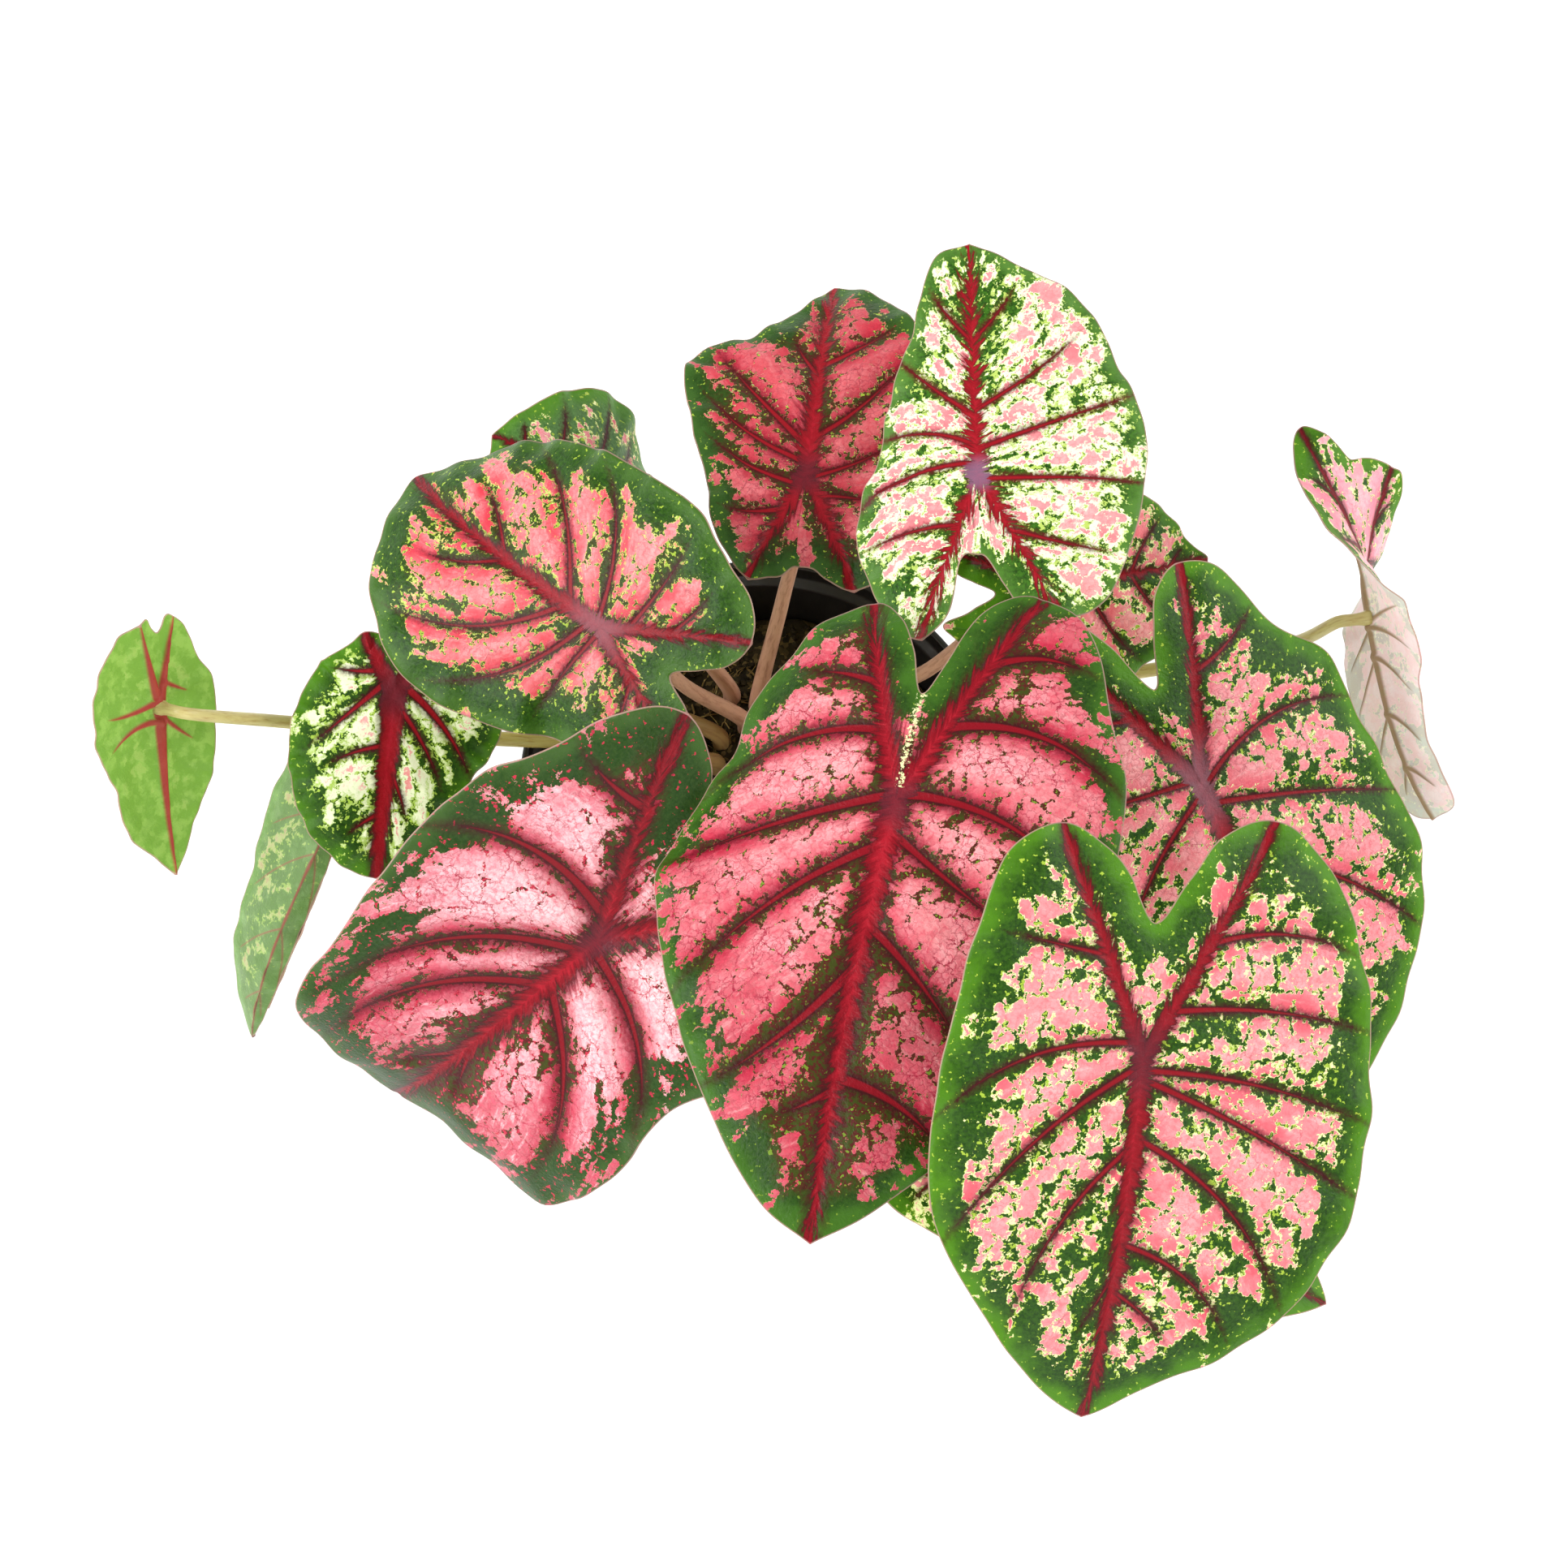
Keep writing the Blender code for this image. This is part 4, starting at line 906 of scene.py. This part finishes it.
    # Over the stem: its own dark maroon on most blades, and a painted sheen where a look gives a paler
    # greyish hub colour.
    flesh = mixed(ramp(hub, look["hub_size"], 2.0, 0.0, 0.65), flesh, linear(look["hub"]))
    colour = mixed(ramp(core, -0.2, 0.5, 1.0, 0.0), colour, flesh)
    if look["streak"]:
        off = put("ShaderNodeVectorMath", flat, (0.0, 1.0, 0.0), operation="MULTIPLY")
        off = put("ShaderNodeVectorMath", off, operation="LENGTH", out="Value")
        off = total(off, ramp(grit, 0.35, 0.65, -0.7, 1.6))
        x = put("ShaderNodeSeparateXYZ", flat)
        behind = put("ShaderNodeMath", x, LEAVES_APART * seed - 4.0, operation="LESS_THAN")
        colour = mixed(product(ramp(off, 0.3, 0.9, 0.9, 0.0), behind), colour, linear(look["cream"]))

    back_face = put("ShaderNodeMath", known["under"], look["turned"], operation="MAXIMUM")
    colour = mixed(back_face, colour, back)
    colour = mixed(ramp(known["edge"], 0.1, 0.4, 0.75, 0.0), colour, linear(EDGE_LINE))

    relief = scaled(mesh_lines[FINE_MESH], 1.2, grit)
    bump = put("ShaderNodeBump", inputs={"Strength": 0.4, "Distance": VEIN_RELIEF * MM, "Height": relief})
    return surfaced(material, {
        "Base Color": colour, "Normal": bump, "Roughness": look["rough"], "IOR": LEAF_IOR,
        "Specular IOR Level": WAX_GLOSS,
    })


# %% Make the blades
facings = {}
for seed, (place, leaf) in enumerate(LEAVES.items()):
    look = {**PLAIN_LOOK, **LOOKS[place]}
    mesh, facings[place] = blade_mesh(f"blade_{place}", leaf, look, seed)
    blade = new_object(f"blade_{place}", mesh, caladium_blade(f"caladium_blade_{place}", look, seed))
    join_model(blade, f"leaf_{place}")
    print(f"blade_{place}:", len(mesh.polygons), "triangles")

# %% [markdown]
# ## Stems
# A caladium's stem is a long, smooth, fleshy stalk. It stands upright in the soil, bends out
# under its leaf and tapers to the point where it meets the blade. Each follows the same route as
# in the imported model, read at four times as many places, as a plain tube.

# %% The route of a stem and its tube
SOIL_TOP = 87.0
SOIL_MOUND = 4.0
SOIL_MOUND_SPREAD = 24.0
SOIL_ROUGHNESS = 1.2
CROWN = (1.0, 22.0)
STEM_TOP_RADIUS = 1.55
STEM_FOOT_RADIUS = 2.55
STEM_TAPER_POWER = 0.6
STEM_DEPTH = 11.5
STEM_UPRIGHT = 2.0
STEM_PLACES = 44
STEM_SIDES = 20
CAD_STEM_TOP_RADIUS = 1.7
CAD_BLADE_THICKNESS = 0.8
SEAT_GAP = 0.4
SEAT_RUN = 7.0
ROOF_ALLOWANCE = 1.25
STEM_END = 0.95
COLLAR_LENGTH = 4.0
COLLAR_GROWTH = 0.55


def soil_height(x, y):
    """The height of the soil's surface: a low mound round the crown, with lumps from two waves."""
    away = math.hypot(x - CROWN[0], y - CROWN[1])
    mound = SOIL_MOUND * math.exp(-((away / SOIL_MOUND_SPREAD) ** 2))
    lumps = math.sin(x * 0.31 + 1.3) * math.cos(y * 0.27) + 0.6 * math.sin(x * 0.13 - y * 0.47)
    return SOIL_TOP + mound + SOIL_ROUGHNESS * lumps * min(1.0, away / SOIL_MOUND_SPREAD)


def stem_route(leaf, facing):
    """Points along the stem, upright in the soil and then bending to its seat in the blade."""
    x, y = leaf["foot"]
    surface = soil_height(x, y)
    hollow = CAD_STEM_TOP_RADIUS * math.tan(math.radians(ROOF_ALLOWANCE * max(0.0, -leaf["vee"])))
    seat = np.array(leaf["at"], float) - facing * (CAD_BLADE_THICKNESS + SEAT_GAP + hollow)
    lean = np.array((x, y, surface + STEM_UPRIGHT))
    route = np.array([lean, *leaf["via"], seat - facing * SEAT_RUN], float)
    run = np.concatenate([[0], np.cumsum(np.linalg.norm(np.diff(route, axis=0), axis=1) ** 0.5)])
    place = np.interp(np.linspace(0, run[-1], STEM_PLACES), run, np.arange(len(route)))
    rise = np.array((0, 0, 0.6 * np.linalg.norm(route[1] - route[0])))
    path = smooth_through(route, place, rise, facing * 0.5 * np.linalg.norm(route[-1] - route[-2]))
    low = np.array((x, y, surface - STEM_DEPTH))
    end = np.array(leaf["at"], float) - facing * STEM_END
    top = [path[-1] + (end - path[-1]) * share for share in (0.25, 0.5, 0.7, 0.85, 1.0)]
    return np.concatenate([[low], path, top])


def tube_mesh(name, path, radii, sides):
    """A closed tube along a path. Each point keeps its place round and along the tube."""
    ahead = np.gradient(path, axis=0)
    ahead /= np.linalg.norm(ahead, axis=1, keepdims=True)
    across = np.cross(ahead[0], (0.3, 1.0, 0.2))
    frames = []
    for direction in ahead:
        across = across - direction * (across @ direction)
        across /= np.linalg.norm(across)
        frames.append((across, np.cross(direction, across)))
    angles = np.arange(sides) * 2 * np.pi / sides
    rings = [
        centre + radius * (np.cos(angles)[:, None] * u + np.sin(angles)[:, None] * v)
        for centre, radius, (u, v) in zip(path, radii, frames)
    ]
    points = np.concatenate(rings + [path[:1], path[-1:]])
    last = (len(path) - 1) * sides
    faces = []
    for ring in range(len(path) - 1):
        for i in range(sides):
            a, b = ring * sides + i, ring * sides + (i + 1) % sides
            faces.append((a, b, b + sides, a + sides))
    for i in range(sides):
        j = (i + 1) % sides
        faces.append((j, i, len(points) - 2))
        faces.append((last + i, last + j, len(points) - 1))
    run = np.concatenate([[0], np.cumsum(np.linalg.norm(np.diff(path, axis=0), axis=1))])
    mesh = bpy.data.meshes.new(name)
    mesh.from_pydata((points * MM).tolist(), [], faces)
    mesh.shade_smooth()
    round_it = np.tile(np.stack([np.cos(angles), np.sin(angles)], 1), (len(path), 1))
    rod = np.concatenate([round_it, np.repeat(run, sides)[:, None]], axis=1)
    rod = np.concatenate([rod, [(0, 0, 0), (0, 0, run[-1])]])
    mesh.attributes.new("rod", "FLOAT_VECTOR", "POINT").data.foreach_set("vector", rod.reshape(-1))
    share = np.concatenate([np.repeat(run / run[-1], sides), [0, 1]])
    mesh.attributes.new("share", "FLOAT", "POINT").data.foreach_set("value", share)
    return mesh


# %% The finish of a stem
# A living stalk: smooth, waxed and slightly see-through, brown or pink at its foot and paler
# towards the leaf, with fine streaks along it.
STEM_ROUGHNESS = 0.36


def fleshy_stem(name, foot, middle, top, streak):
    material, put = new_finish(name)
    share = put("ShaderNodeAttribute", attribute_name="share", out="Fac")
    rod = put("ShaderNodeAttribute", attribute_name="rod", out="Vector")
    low = put("ShaderNodeMapRange", share, 0.1, 0.55, 0.0, 1.0)
    high = put("ShaderNodeMapRange", share, 0.5, 0.98, 0.0, 1.0)
    colour = put("ShaderNodeMixRGB", low, linear(foot), linear(middle))
    colour = put("ShaderNodeMixRGB", high, colour, linear(top))
    long = put("ShaderNodeVectorMath", rod, (1.6, 1.6, 0.12), operation="MULTIPLY")
    streaks = put("ShaderNodeTexNoise", long, inputs={"Scale": 1.6, "Detail": 4.0, "Roughness": 0.65})
    mask = put("ShaderNodeMapRange", streaks, 0.48, 0.72, 0.0, 0.7)
    colour = put("ShaderNodeMixRGB", mask, colour, linear(streak))
    bump = put("ShaderNodeBump", inputs={"Strength": 0.3, "Distance": 0.2 * MM, "Height": streaks})
    return surfaced(material, {
        "Base Color": colour, "Normal": bump, "Roughness": STEM_ROUGHNESS, "IOR": LEAF_IOR,
    })


# %% Make the stems
STEM_COLOURS = {
    "pink": ("#C8967C", "#D6A88C", "#CF9682", "#96604C"),
    "tan": ("#A88858", "#B89664", "#BC966C", "#8A6240"),
    "olive": ("#B0A05C", "#C4B66C", "#C8BC7C", "#9A7632"),
}
STEM_KINDS = {"left_low": "tan", "left_hanging": "tan", "far_left": "olive", "far_right": "olive"}
stem_finishes = {kind: fleshy_stem(f"caladium_stem_{kind}", *STEM_COLOURS[kind]) for kind in STEM_COLOURS}
for place, leaf in LEAVES.items():
    route = stem_route(leaf, facings[place])
    share = np.linspace(0, 1, len(route))
    radii = STEM_FOOT_RADIUS + (STEM_TOP_RADIUS - STEM_FOOT_RADIUS) * share**STEM_TAPER_POWER
    to_end = np.linalg.norm(route - route[-1], axis=1)
    radii = radii * (1 + COLLAR_GROWTH * np.clip(1 - to_end / COLLAR_LENGTH, 0, 1) ** 2)
    mesh = tube_mesh(f"stalk_{place}", route, radii, STEM_SIDES)
    stalk = new_object(f"stalk_{place}", mesh, stem_finishes[STEM_KINDS.get(place, "pink")])
    join_model(stalk, f"stem_{place}")
print("stems made:", len(LEAVES))

# %% [markdown]
# ## Soil
# The pot is filled with peat: a dark brown, crumbly mass of half-rotten moss, dry on top, with
# straw-coloured fibres in it. One closed plug carries the broad lumps. Crumbs and fibres repeat
# hundreds of times, so Geometry Nodes scatter them over the top of the plug from a few inputs.

# %% The plug of peat
POT_HEIGHT = 112.0
POT_LIP_HEIGHT = 8.0
POT_SHOULDER_RADIUS = 62.0
POT_FOOT_RADIUS = 48.0
POT_WALL = 1.3
POT_FLOOR = 2.0
SOIL_CLEARANCE = 0.5
SOIL_RINGS = 64
SOIL_SPOKES = 220


def pot_radius_inside(height):
    """The inner radius of the pot's wall at a height below the lip."""
    share = height / (POT_HEIGHT - POT_LIP_HEIGHT)
    return POT_FOOT_RADIUS + (POT_SHOULDER_RADIUS - POT_FOOT_RADIUS) * share - POT_WALL


def peat_height(x, y):
    """The soil's surface with clods of 12 mm and crumbs of 3 mm on its broad lumps."""
    clods = noise.noise(Vector((x / 12, y / 12, 3.7)))
    crumbs = noise.noise(Vector((x / 3.2, y / 3.2, 8.1)))
    return soil_height(x, y) + 1.3 * clods + 0.7 * crumbs


form = bmesh.new()
edge = pot_radius_inside(SOIL_TOP) - SOIL_CLEARANCE
foot = pot_radius_inside(POT_FLOOR) - SOIL_CLEARANCE
angles = [2 * math.pi * i / SOIL_SPOKES for i in range(SOIL_SPOKES)]
rings = []
for ring in range(1, SOIL_RINGS + 1):
    radius = edge * ring / SOIL_RINGS
    places = [(radius * math.cos(angle), radius * math.sin(angle)) for angle in angles]
    rings.append([form.verts.new(Vector((x, y, peat_height(x, y))) * MM) for x, y in places])
middle = form.verts.new(Vector((0, 0, peat_height(0, 0))) * MM)
for i in range(SOIL_SPOKES):
    j = (i + 1) % SOIL_SPOKES
    form.faces.new((middle, rings[0][i], rings[0][j]))
    for inner, outer in zip(rings, rings[1:]):
        form.faces.new((inner[i], outer[i], outer[j], inner[j]))
peat_top = bpy.data.meshes.new("peat_top")
form.to_mesh(peat_top)
low = [form.verts.new(Vector((foot * math.cos(a), foot * math.sin(a), POT_FLOOR + 0.3)) * MM) for a in angles]
under = form.verts.new(Vector((0, 0, POT_FLOOR + 0.3)) * MM)
for i in range(SOIL_SPOKES):
    j = (i + 1) % SOIL_SPOKES
    form.faces.new((under, low[j], low[i]))
    form.faces.new((rings[-1][j], rings[-1][i], low[i], low[j]))
bmesh.ops.recalc_face_normals(form, faces=form.faces[:])
peat_mesh = bpy.data.meshes.new("peat")
form.to_mesh(peat_mesh)
form.free()
peat_mesh.shade_smooth()
print("peat:", len(peat_mesh.polygons), "faces")


# %% The finishes of the soil
# Dry peat: matt and dark brown, with paler dry crumbs. It is darker where the bump sinks, partly its own
# uneven tone and partly painted shade in the hollows between the clods.
PEAT_ROUGHNESS = 0.95
PEAT_GLOSS = 0.2


def peat(name, dark, middle, pale, crumb):
    material, put = new_finish(name)
    place = put("ShaderNodeTexCoord", out="Object")
    clods = put("ShaderNodeTexNoise", place, inputs={"Scale": 1 / (6 * MM), "Detail": 5.0, "Roughness": 0.7})
    grains = put("ShaderNodeTexVoronoi", place, inputs={"Scale": 1 / (crumb * MM)}, out=None)
    # Partly painted shade: the colour darkens where the clods' bump is low.
    tone_and_hollow_shade = put("ShaderNodeMapRange", clods, 0.35, 0.68, 0.0, 1.0)
    colour = put("ShaderNodeMixRGB", tone_and_hollow_shade, linear(dark), linear(middle))
    chance = put("ShaderNodeSeparateColor", grains.outputs["Color"], out=0)
    light = put("ShaderNodeMapRange", chance, 0.72, 0.95, 0.0, 0.8)
    colour = put("ShaderNodeMixRGB", light, colour, linear(pale))
    bump = put("ShaderNodeBump", inputs={"Strength": 0.9, "Distance": 0.8 * MM, "Height": clods})
    return surfaced(material, {
        "Base Color": colour, "Normal": bump, "Roughness": PEAT_ROUGHNESS,
        "Specular IOR Level": PEAT_GLOSS,
    })


peat_finish = peat("dry_peat", "#1A140A", "#352A17", "#665332", 1.4)
straw_finish = peat("straw_and_moss_fibre", "#6B542E", "#947A48", "#B8A06A", 0.8)

# %% Crumbs and fibres on the peat
# They keep clear of the pot's wall by their own half length and how far they are bent.
CRUMB_COUNT = 1500
FIBRE_COUNT = 520
CRUMB_SIZE = (0.5, 1.7)
CRUMB_CLEARANCE = 2.5
FIBRE_CLEARANCE = 9.5
FIBRE_LENGTH = (5.0, 14.0)
FIBRE_GIRTH = 0.018
SCATTER_SEED = 11


def scatter_tree(name, finish, shape):
    """A node tree that puts copies of a small shape on a surface and bends them a little."""
    tree = bpy.data.node_groups.new(name, "GeometryNodeTree")
    tree.interface.new_socket("Geometry", in_out="INPUT", socket_type="NodeSocketGeometry")
    for label in ("Count per square metre", "Reach", "Smallest", "Largest", "Bend"):
        tree.interface.new_socket(label, in_out="INPUT", socket_type="NodeSocketFloat")
    tree.interface.new_socket("Seed", in_out="INPUT", socket_type="NodeSocketInt")
    tree.interface.new_socket("Geometry", in_out="OUTPUT", socket_type="NodeSocketGeometry")
    put = functools.partial(node, tree)
    given = put("NodeGroupInput", out=None)
    place = put("GeometryNodeInputPosition")
    level = put("ShaderNodeVectorMath", place, (1.0, 1.0, 0.0), operation="MULTIPLY")
    away = put("ShaderNodeVectorMath", level, operation="LENGTH", out="Value")
    inside = put("FunctionNodeCompare", away, given.outputs["Reach"], operation="LESS_THAN")
    points = put("GeometryNodeDistributePointsOnFaces", given.outputs[0], inside, out=None,
                 inputs={"Density": given.outputs["Count per square metre"], "Seed": given.outputs["Seed"]})
    if shape == "crumb":
        ball = put("GeometryNodeMeshIcoSphere", 1.0, 1)
        copy = put("GeometryNodeTransform", ball, inputs={"Scale": (1.0, 0.8, 0.65)})
        low, high = (-3.1, -3.1, -3.1), (3.1, 3.1, 3.1)
    else:
        line = put("GeometryNodeCurvePrimitiveLine", inputs={"Start": (-0.5, 0, 0), "End": (0.5, 0, 0)})
        line = put("GeometryNodeResampleCurve", line, inputs={"Count": 7})
        ring = put("GeometryNodeCurvePrimitiveCircle", inputs={"Resolution": 4, "Radius": FIBRE_GIRTH})
        copy = put("GeometryNodeCurveToMesh", line, ring, inputs={"Fill Caps": True})
        low, high = (-0.25, -0.35, -3.1), (0.25, 0.35, 3.1)
    turn = put("FunctionNodeRandomValue", low, high, data_type="FLOAT_VECTOR", inputs={"Seed": 3})
    size = put("FunctionNodeRandomValue", data_type="FLOAT", out=1,
               inputs={2: given.outputs["Smallest"], 3: given.outputs["Largest"], "Seed": 5})
    copies = put("GeometryNodeInstanceOnPoints", points.outputs["Points"],
                 inputs={"Instance": copy, "Rotation": turn, "Scale": size})
    whole = put("GeometryNodeRealizeInstances", copies)
    swirl = put("ShaderNodeTexNoise", place, inputs={"Scale": 1 / (5 * MM), "Detail": 1.0}, out="Color")
    swirl = put("ShaderNodeVectorMath", swirl, (0.5, 0.5, 0.5), operation="SUBTRACT")
    swirl = put("ShaderNodeVectorMath", swirl, operation="SCALE", inputs={"Scale": given.outputs["Bend"]})
    whole = put("GeometryNodeSetPosition", whole, inputs={"Offset": swirl})
    whole = put("GeometryNodeSetMaterial", whole, inputs={"Material": finish})
    node(tree, "NodeGroupOutput", whole, out=None)
    return tree


def scattered(name, tree, values):
    """The plain mesh that the tree makes on the peat."""
    carrier = new_object(name, peat_top.copy(), peat_finish)
    maker = carrier.modifiers.new("scatter", "NODES")
    maker.node_group = tree
    sockets = {item.name: item.identifier for item in tree.interface.items_tree if item.in_out == "INPUT"}
    for label, value in values.items():
        maker[sockets[label]] = value
    graph = bpy.context.evaluated_depsgraph_get()
    mesh = bpy.data.meshes.new_from_object(carrier.evaluated_get(graph))
    carrier.modifiers.remove(maker)
    carrier.data = mesh
    print(name, "has", len(mesh.polygons), "faces")
    return carrier


AREA = math.pi * (edge * MM) ** 2
crumbs = scattered("peat_crumbs", scatter_tree("crumbs on a surface", peat_finish, "crumb"), {
    "Count per square metre": CRUMB_COUNT / AREA, "Reach": (edge - CRUMB_CLEARANCE) * MM,
    "Smallest": CRUMB_SIZE[0] * MM, "Largest": CRUMB_SIZE[1] * MM, "Bend": 1.2 * MM,
    "Seed": SCATTER_SEED,
})
fibres = scattered("peat_fibres", scatter_tree("fibres on a surface", straw_finish, "fibre"), {
    "Count per square metre": FIBRE_COUNT / AREA, "Reach": (edge - FIBRE_CLEARANCE) * MM,
    "Smallest": FIBRE_LENGTH[0] * MM, "Largest": FIBRE_LENGTH[1] * MM, "Bend": 6.0 * MM,
    "Seed": SCATTER_SEED + 1,
})
plug = new_object("peat_plug", peat_mesh, peat_finish)
for piece in (plug, crumbs, fibres):
    join_model(piece, "soil")

# %% [markdown]
# ## Pot
# A nursery pot is formed from one thin sheet of black polypropylene: a tapered wall, a
# turned-out lip that stiffens it, and drain holes in its floor. It is a body of revolution, so a
# profile is turned round the vertical axis with a Screw modifier. Small steps in the profile
# give the rounded edges that a moulding has, and a Boolean cuts the drain holes.

# %% Turn the pot and cut its drain holes
POT_RIM_RADIUS = 65.0
POT_LIP_WALL = 1.8
POT_SIDES = 160
DRAIN_COUNT = 6
DRAIN_RADIUS = 4.5
DRAIN_RING = 36.0


def rounded(corners, radius, steps=4):
    """The profile with each inner corner replaced by a small arc."""
    line = [corners[0]]
    for before, here, after in zip(corners, corners[1:], corners[2:]):
        before, here, after = Vector(before), Vector(here), Vector(after)
        cut = min(radius, (before - here).length * 0.45, (after - here).length * 0.45)
        start = here + (before - here).normalized() * cut
        end = here + (after - here).normalized() * cut
        for i in range(steps + 1):
            t = i / steps
            line.append(tuple(start * (1 - t) ** 2 + here * 2 * t * (1 - t) + end * t**2))
    return line + [corners[-1]]


lip_foot = POT_HEIGHT - POT_LIP_HEIGHT
inner_lip = POT_RIM_RADIUS - POT_LIP_WALL
profile = rounded([
    (0.0, 2.6), (30.0, 2.6), (31.0, 2.0), (pot_radius_inside(2.0), 2.0),
    (pot_radius_inside(lip_foot), lip_foot), (inner_lip, lip_foot + 2.0),
    (inner_lip, POT_HEIGHT), (POT_RIM_RADIUS, POT_HEIGHT), (POT_RIM_RADIUS, lip_foot),
    (POT_SHOULDER_RADIUS, lip_foot), (POT_FOOT_RADIUS + 0.4, 3.0), (POT_FOOT_RADIUS - 1.6, 0.0),
    (POT_FOOT_RADIUS - 5.0, 0.0), (POT_FOOT_RADIUS - 6.0, 0.8), (0.0, 0.8),
], 0.7)
pot_mesh = bpy.data.meshes.new("nursery_pot")
steps = [(i, i + 1) for i in range(len(profile) - 1)]
pot_mesh.from_pydata([(r * MM, 0, z * MM) for r, z in profile], steps, [])


# %% The finish of the pot
# Moulded black polypropylene: nearly black, smooth and a little glossy, with the fine ripple of
# a warm-formed sheet, scuffs, and a grey bloom of dust and lime.
POLYPROPYLENE_IOR = 1.49


def moulded_polypropylene():
    material, put = new_finish("moulded_black_polypropylene")
    place = put("ShaderNodeTexCoord", out="Object")
    dust = put("ShaderNodeTexNoise", place, inputs={"Scale": 1 / (18 * MM), "Detail": 6.0, "Roughness": 0.65})
    mask = put("ShaderNodeMapRange", dust, 0.50, 0.75, 0.0, 0.35)
    colour = put("ShaderNodeMixRGB", mask, linear("#151312"), linear("#3A3531"))
    long = put("ShaderNodeVectorMath", place, (1.0, 1.0, 0.15), operation="MULTIPLY")
    scuffs = put("ShaderNodeTexNoise", long, inputs={"Scale": 1 / (2 * MM), "Detail": 3.0, "Roughness": 0.7})
    rough = put("ShaderNodeMapRange", scuffs, 0.3, 0.7, 0.34, 0.52)
    bump = put("ShaderNodeBump", inputs={"Strength": 0.2, "Distance": 0.15 * MM, "Height": scuffs})
    return surfaced(material, {
        "Base Color": colour, "Normal": bump, "Roughness": rough, "IOR": POLYPROPYLENE_IOR,
    })


pot = new_object("nursery_pot", pot_mesh, moulded_polypropylene())
turn = pot.modifiers.new("turn", "SCREW")
turn.axis = "Z"
turn.steps = POT_SIDES
turn.render_steps = POT_SIDES
turn.use_merge_vertices = True
turn.merge_threshold = 0.00002
turn.use_normal_calculate = True
cutters = []
for i in range(DRAIN_COUNT):
    angle = 2 * math.pi * (i + 0.5) / DRAIN_COUNT
    form = bmesh.new()
    bmesh.ops.create_cone(form, cap_ends=True, segments=28, radius1=DRAIN_RADIUS * MM,
                          radius2=DRAIN_RADIUS * MM, depth=9 * MM)
    bmesh.ops.translate(form, verts=form.verts[:], vec=Vector((
        DRAIN_RING * math.cos(angle), DRAIN_RING * math.sin(angle), 2.0)) * MM)
    cutter_mesh = bpy.data.meshes.new(f"drain_cutter_{i}")
    form.to_mesh(cutter_mesh)
    form.free()
    cutter = bpy.data.objects.new(f"drain_cutter_{i}", cutter_mesh)
    bpy.context.scene.collection.objects.link(cutter)
    cutters.append(cutter)
    hole = pot.modifiers.new(f"drain_{i}", "BOOLEAN")
    hole.operation = "DIFFERENCE"
    hole.solver = "EXACT"
    hole.object = cutter
graph = bpy.context.evaluated_depsgraph_get()
finished = bpy.data.meshes.new_from_object(pot.evaluated_get(graph))
pot.modifiers.clear()
pot.data = finished
for cutter in cutters:
    bpy.data.objects.remove(cutter, do_unlink=True)
form = bmesh.new()
form.from_mesh(finished)
bmesh.ops.recalc_face_normals(form, faces=form.faces[:])
form.to_mesh(finished)
form.free()
finished.shade_smooth()
finished.set_sharp_from_angle(angle=math.radians(40))
join_model(pot, "pot")
print("the pot has", len(finished.polygons), "faces")

# %% [markdown]
# ## Floor and light
# The photograph shows the plant on plain white in very even light. A pale floor under a white
# sky gives that, and one broad lamp from the left and above gives each blade a soft gloss.

# %% Floor, sky and lamps
FLOOR_SIZE = 6.0
SKY_STRENGTH = 0.50


def plain_floor():
    material, _ = new_finish("matt_white_paper")
    return surfaced(material, {"Base Color": linear("#FBFBFB"), "Roughness": 1.0, "Specular IOR Level": 0.0})


floor_mesh = bpy.data.meshes.new("floor")
half = FLOOR_SIZE / 2
corners = [(-half, -half, 0), (half, -half, 0), (half, half, 0), (-half, half, 0)]
floor_mesh.from_pydata(corners, [], [(0, 1, 2, 3)])
floor = new_object("floor", floor_mesh, plain_floor())
floor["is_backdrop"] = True

world = bpy.data.worlds.new("white_sky")
world.use_nodes = True
world.node_tree.nodes["Background"].inputs["Color"].default_value = (1, 1, 1, 1)
world.node_tree.nodes["Background"].inputs["Strength"].default_value = SKY_STRENGTH
bpy.context.scene.world = world
LAMPS = {
    "key": ((-1.7, -0.1, 1.2), 1.5, 50.0), "fill": ((1.7, 0.4, 1.3), 1.8, 40.0),
    "front": ((0.2, -2.0, 1.1), 1.6, 22.0),
}
for name, (place, size, watts) in LAMPS.items():
    lamp = bpy.data.lights.new(name, "AREA")
    lamp.size = size
    lamp.energy = watts
    light = bpy.data.objects.new(name, lamp)
    light.location = place
    light.rotation_euler = (Vector((0, 0, 0.2)) - Vector(place)).to_track_quat("-Z", "Y").to_euler()
    bpy.context.scene.collection.objects.link(light)
bpy.context.scene.view_settings.view_transform = "Standard"

# %% Print both boxes and finish
boxes = {"cad": [list(corner) for corner in CAD_BOX], "visual": [list(corner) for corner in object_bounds()]}
for key, box in boxes.items():
    print(key, "box in mm:", [[round(c / MM, 1) for c in corner] for corner in box])
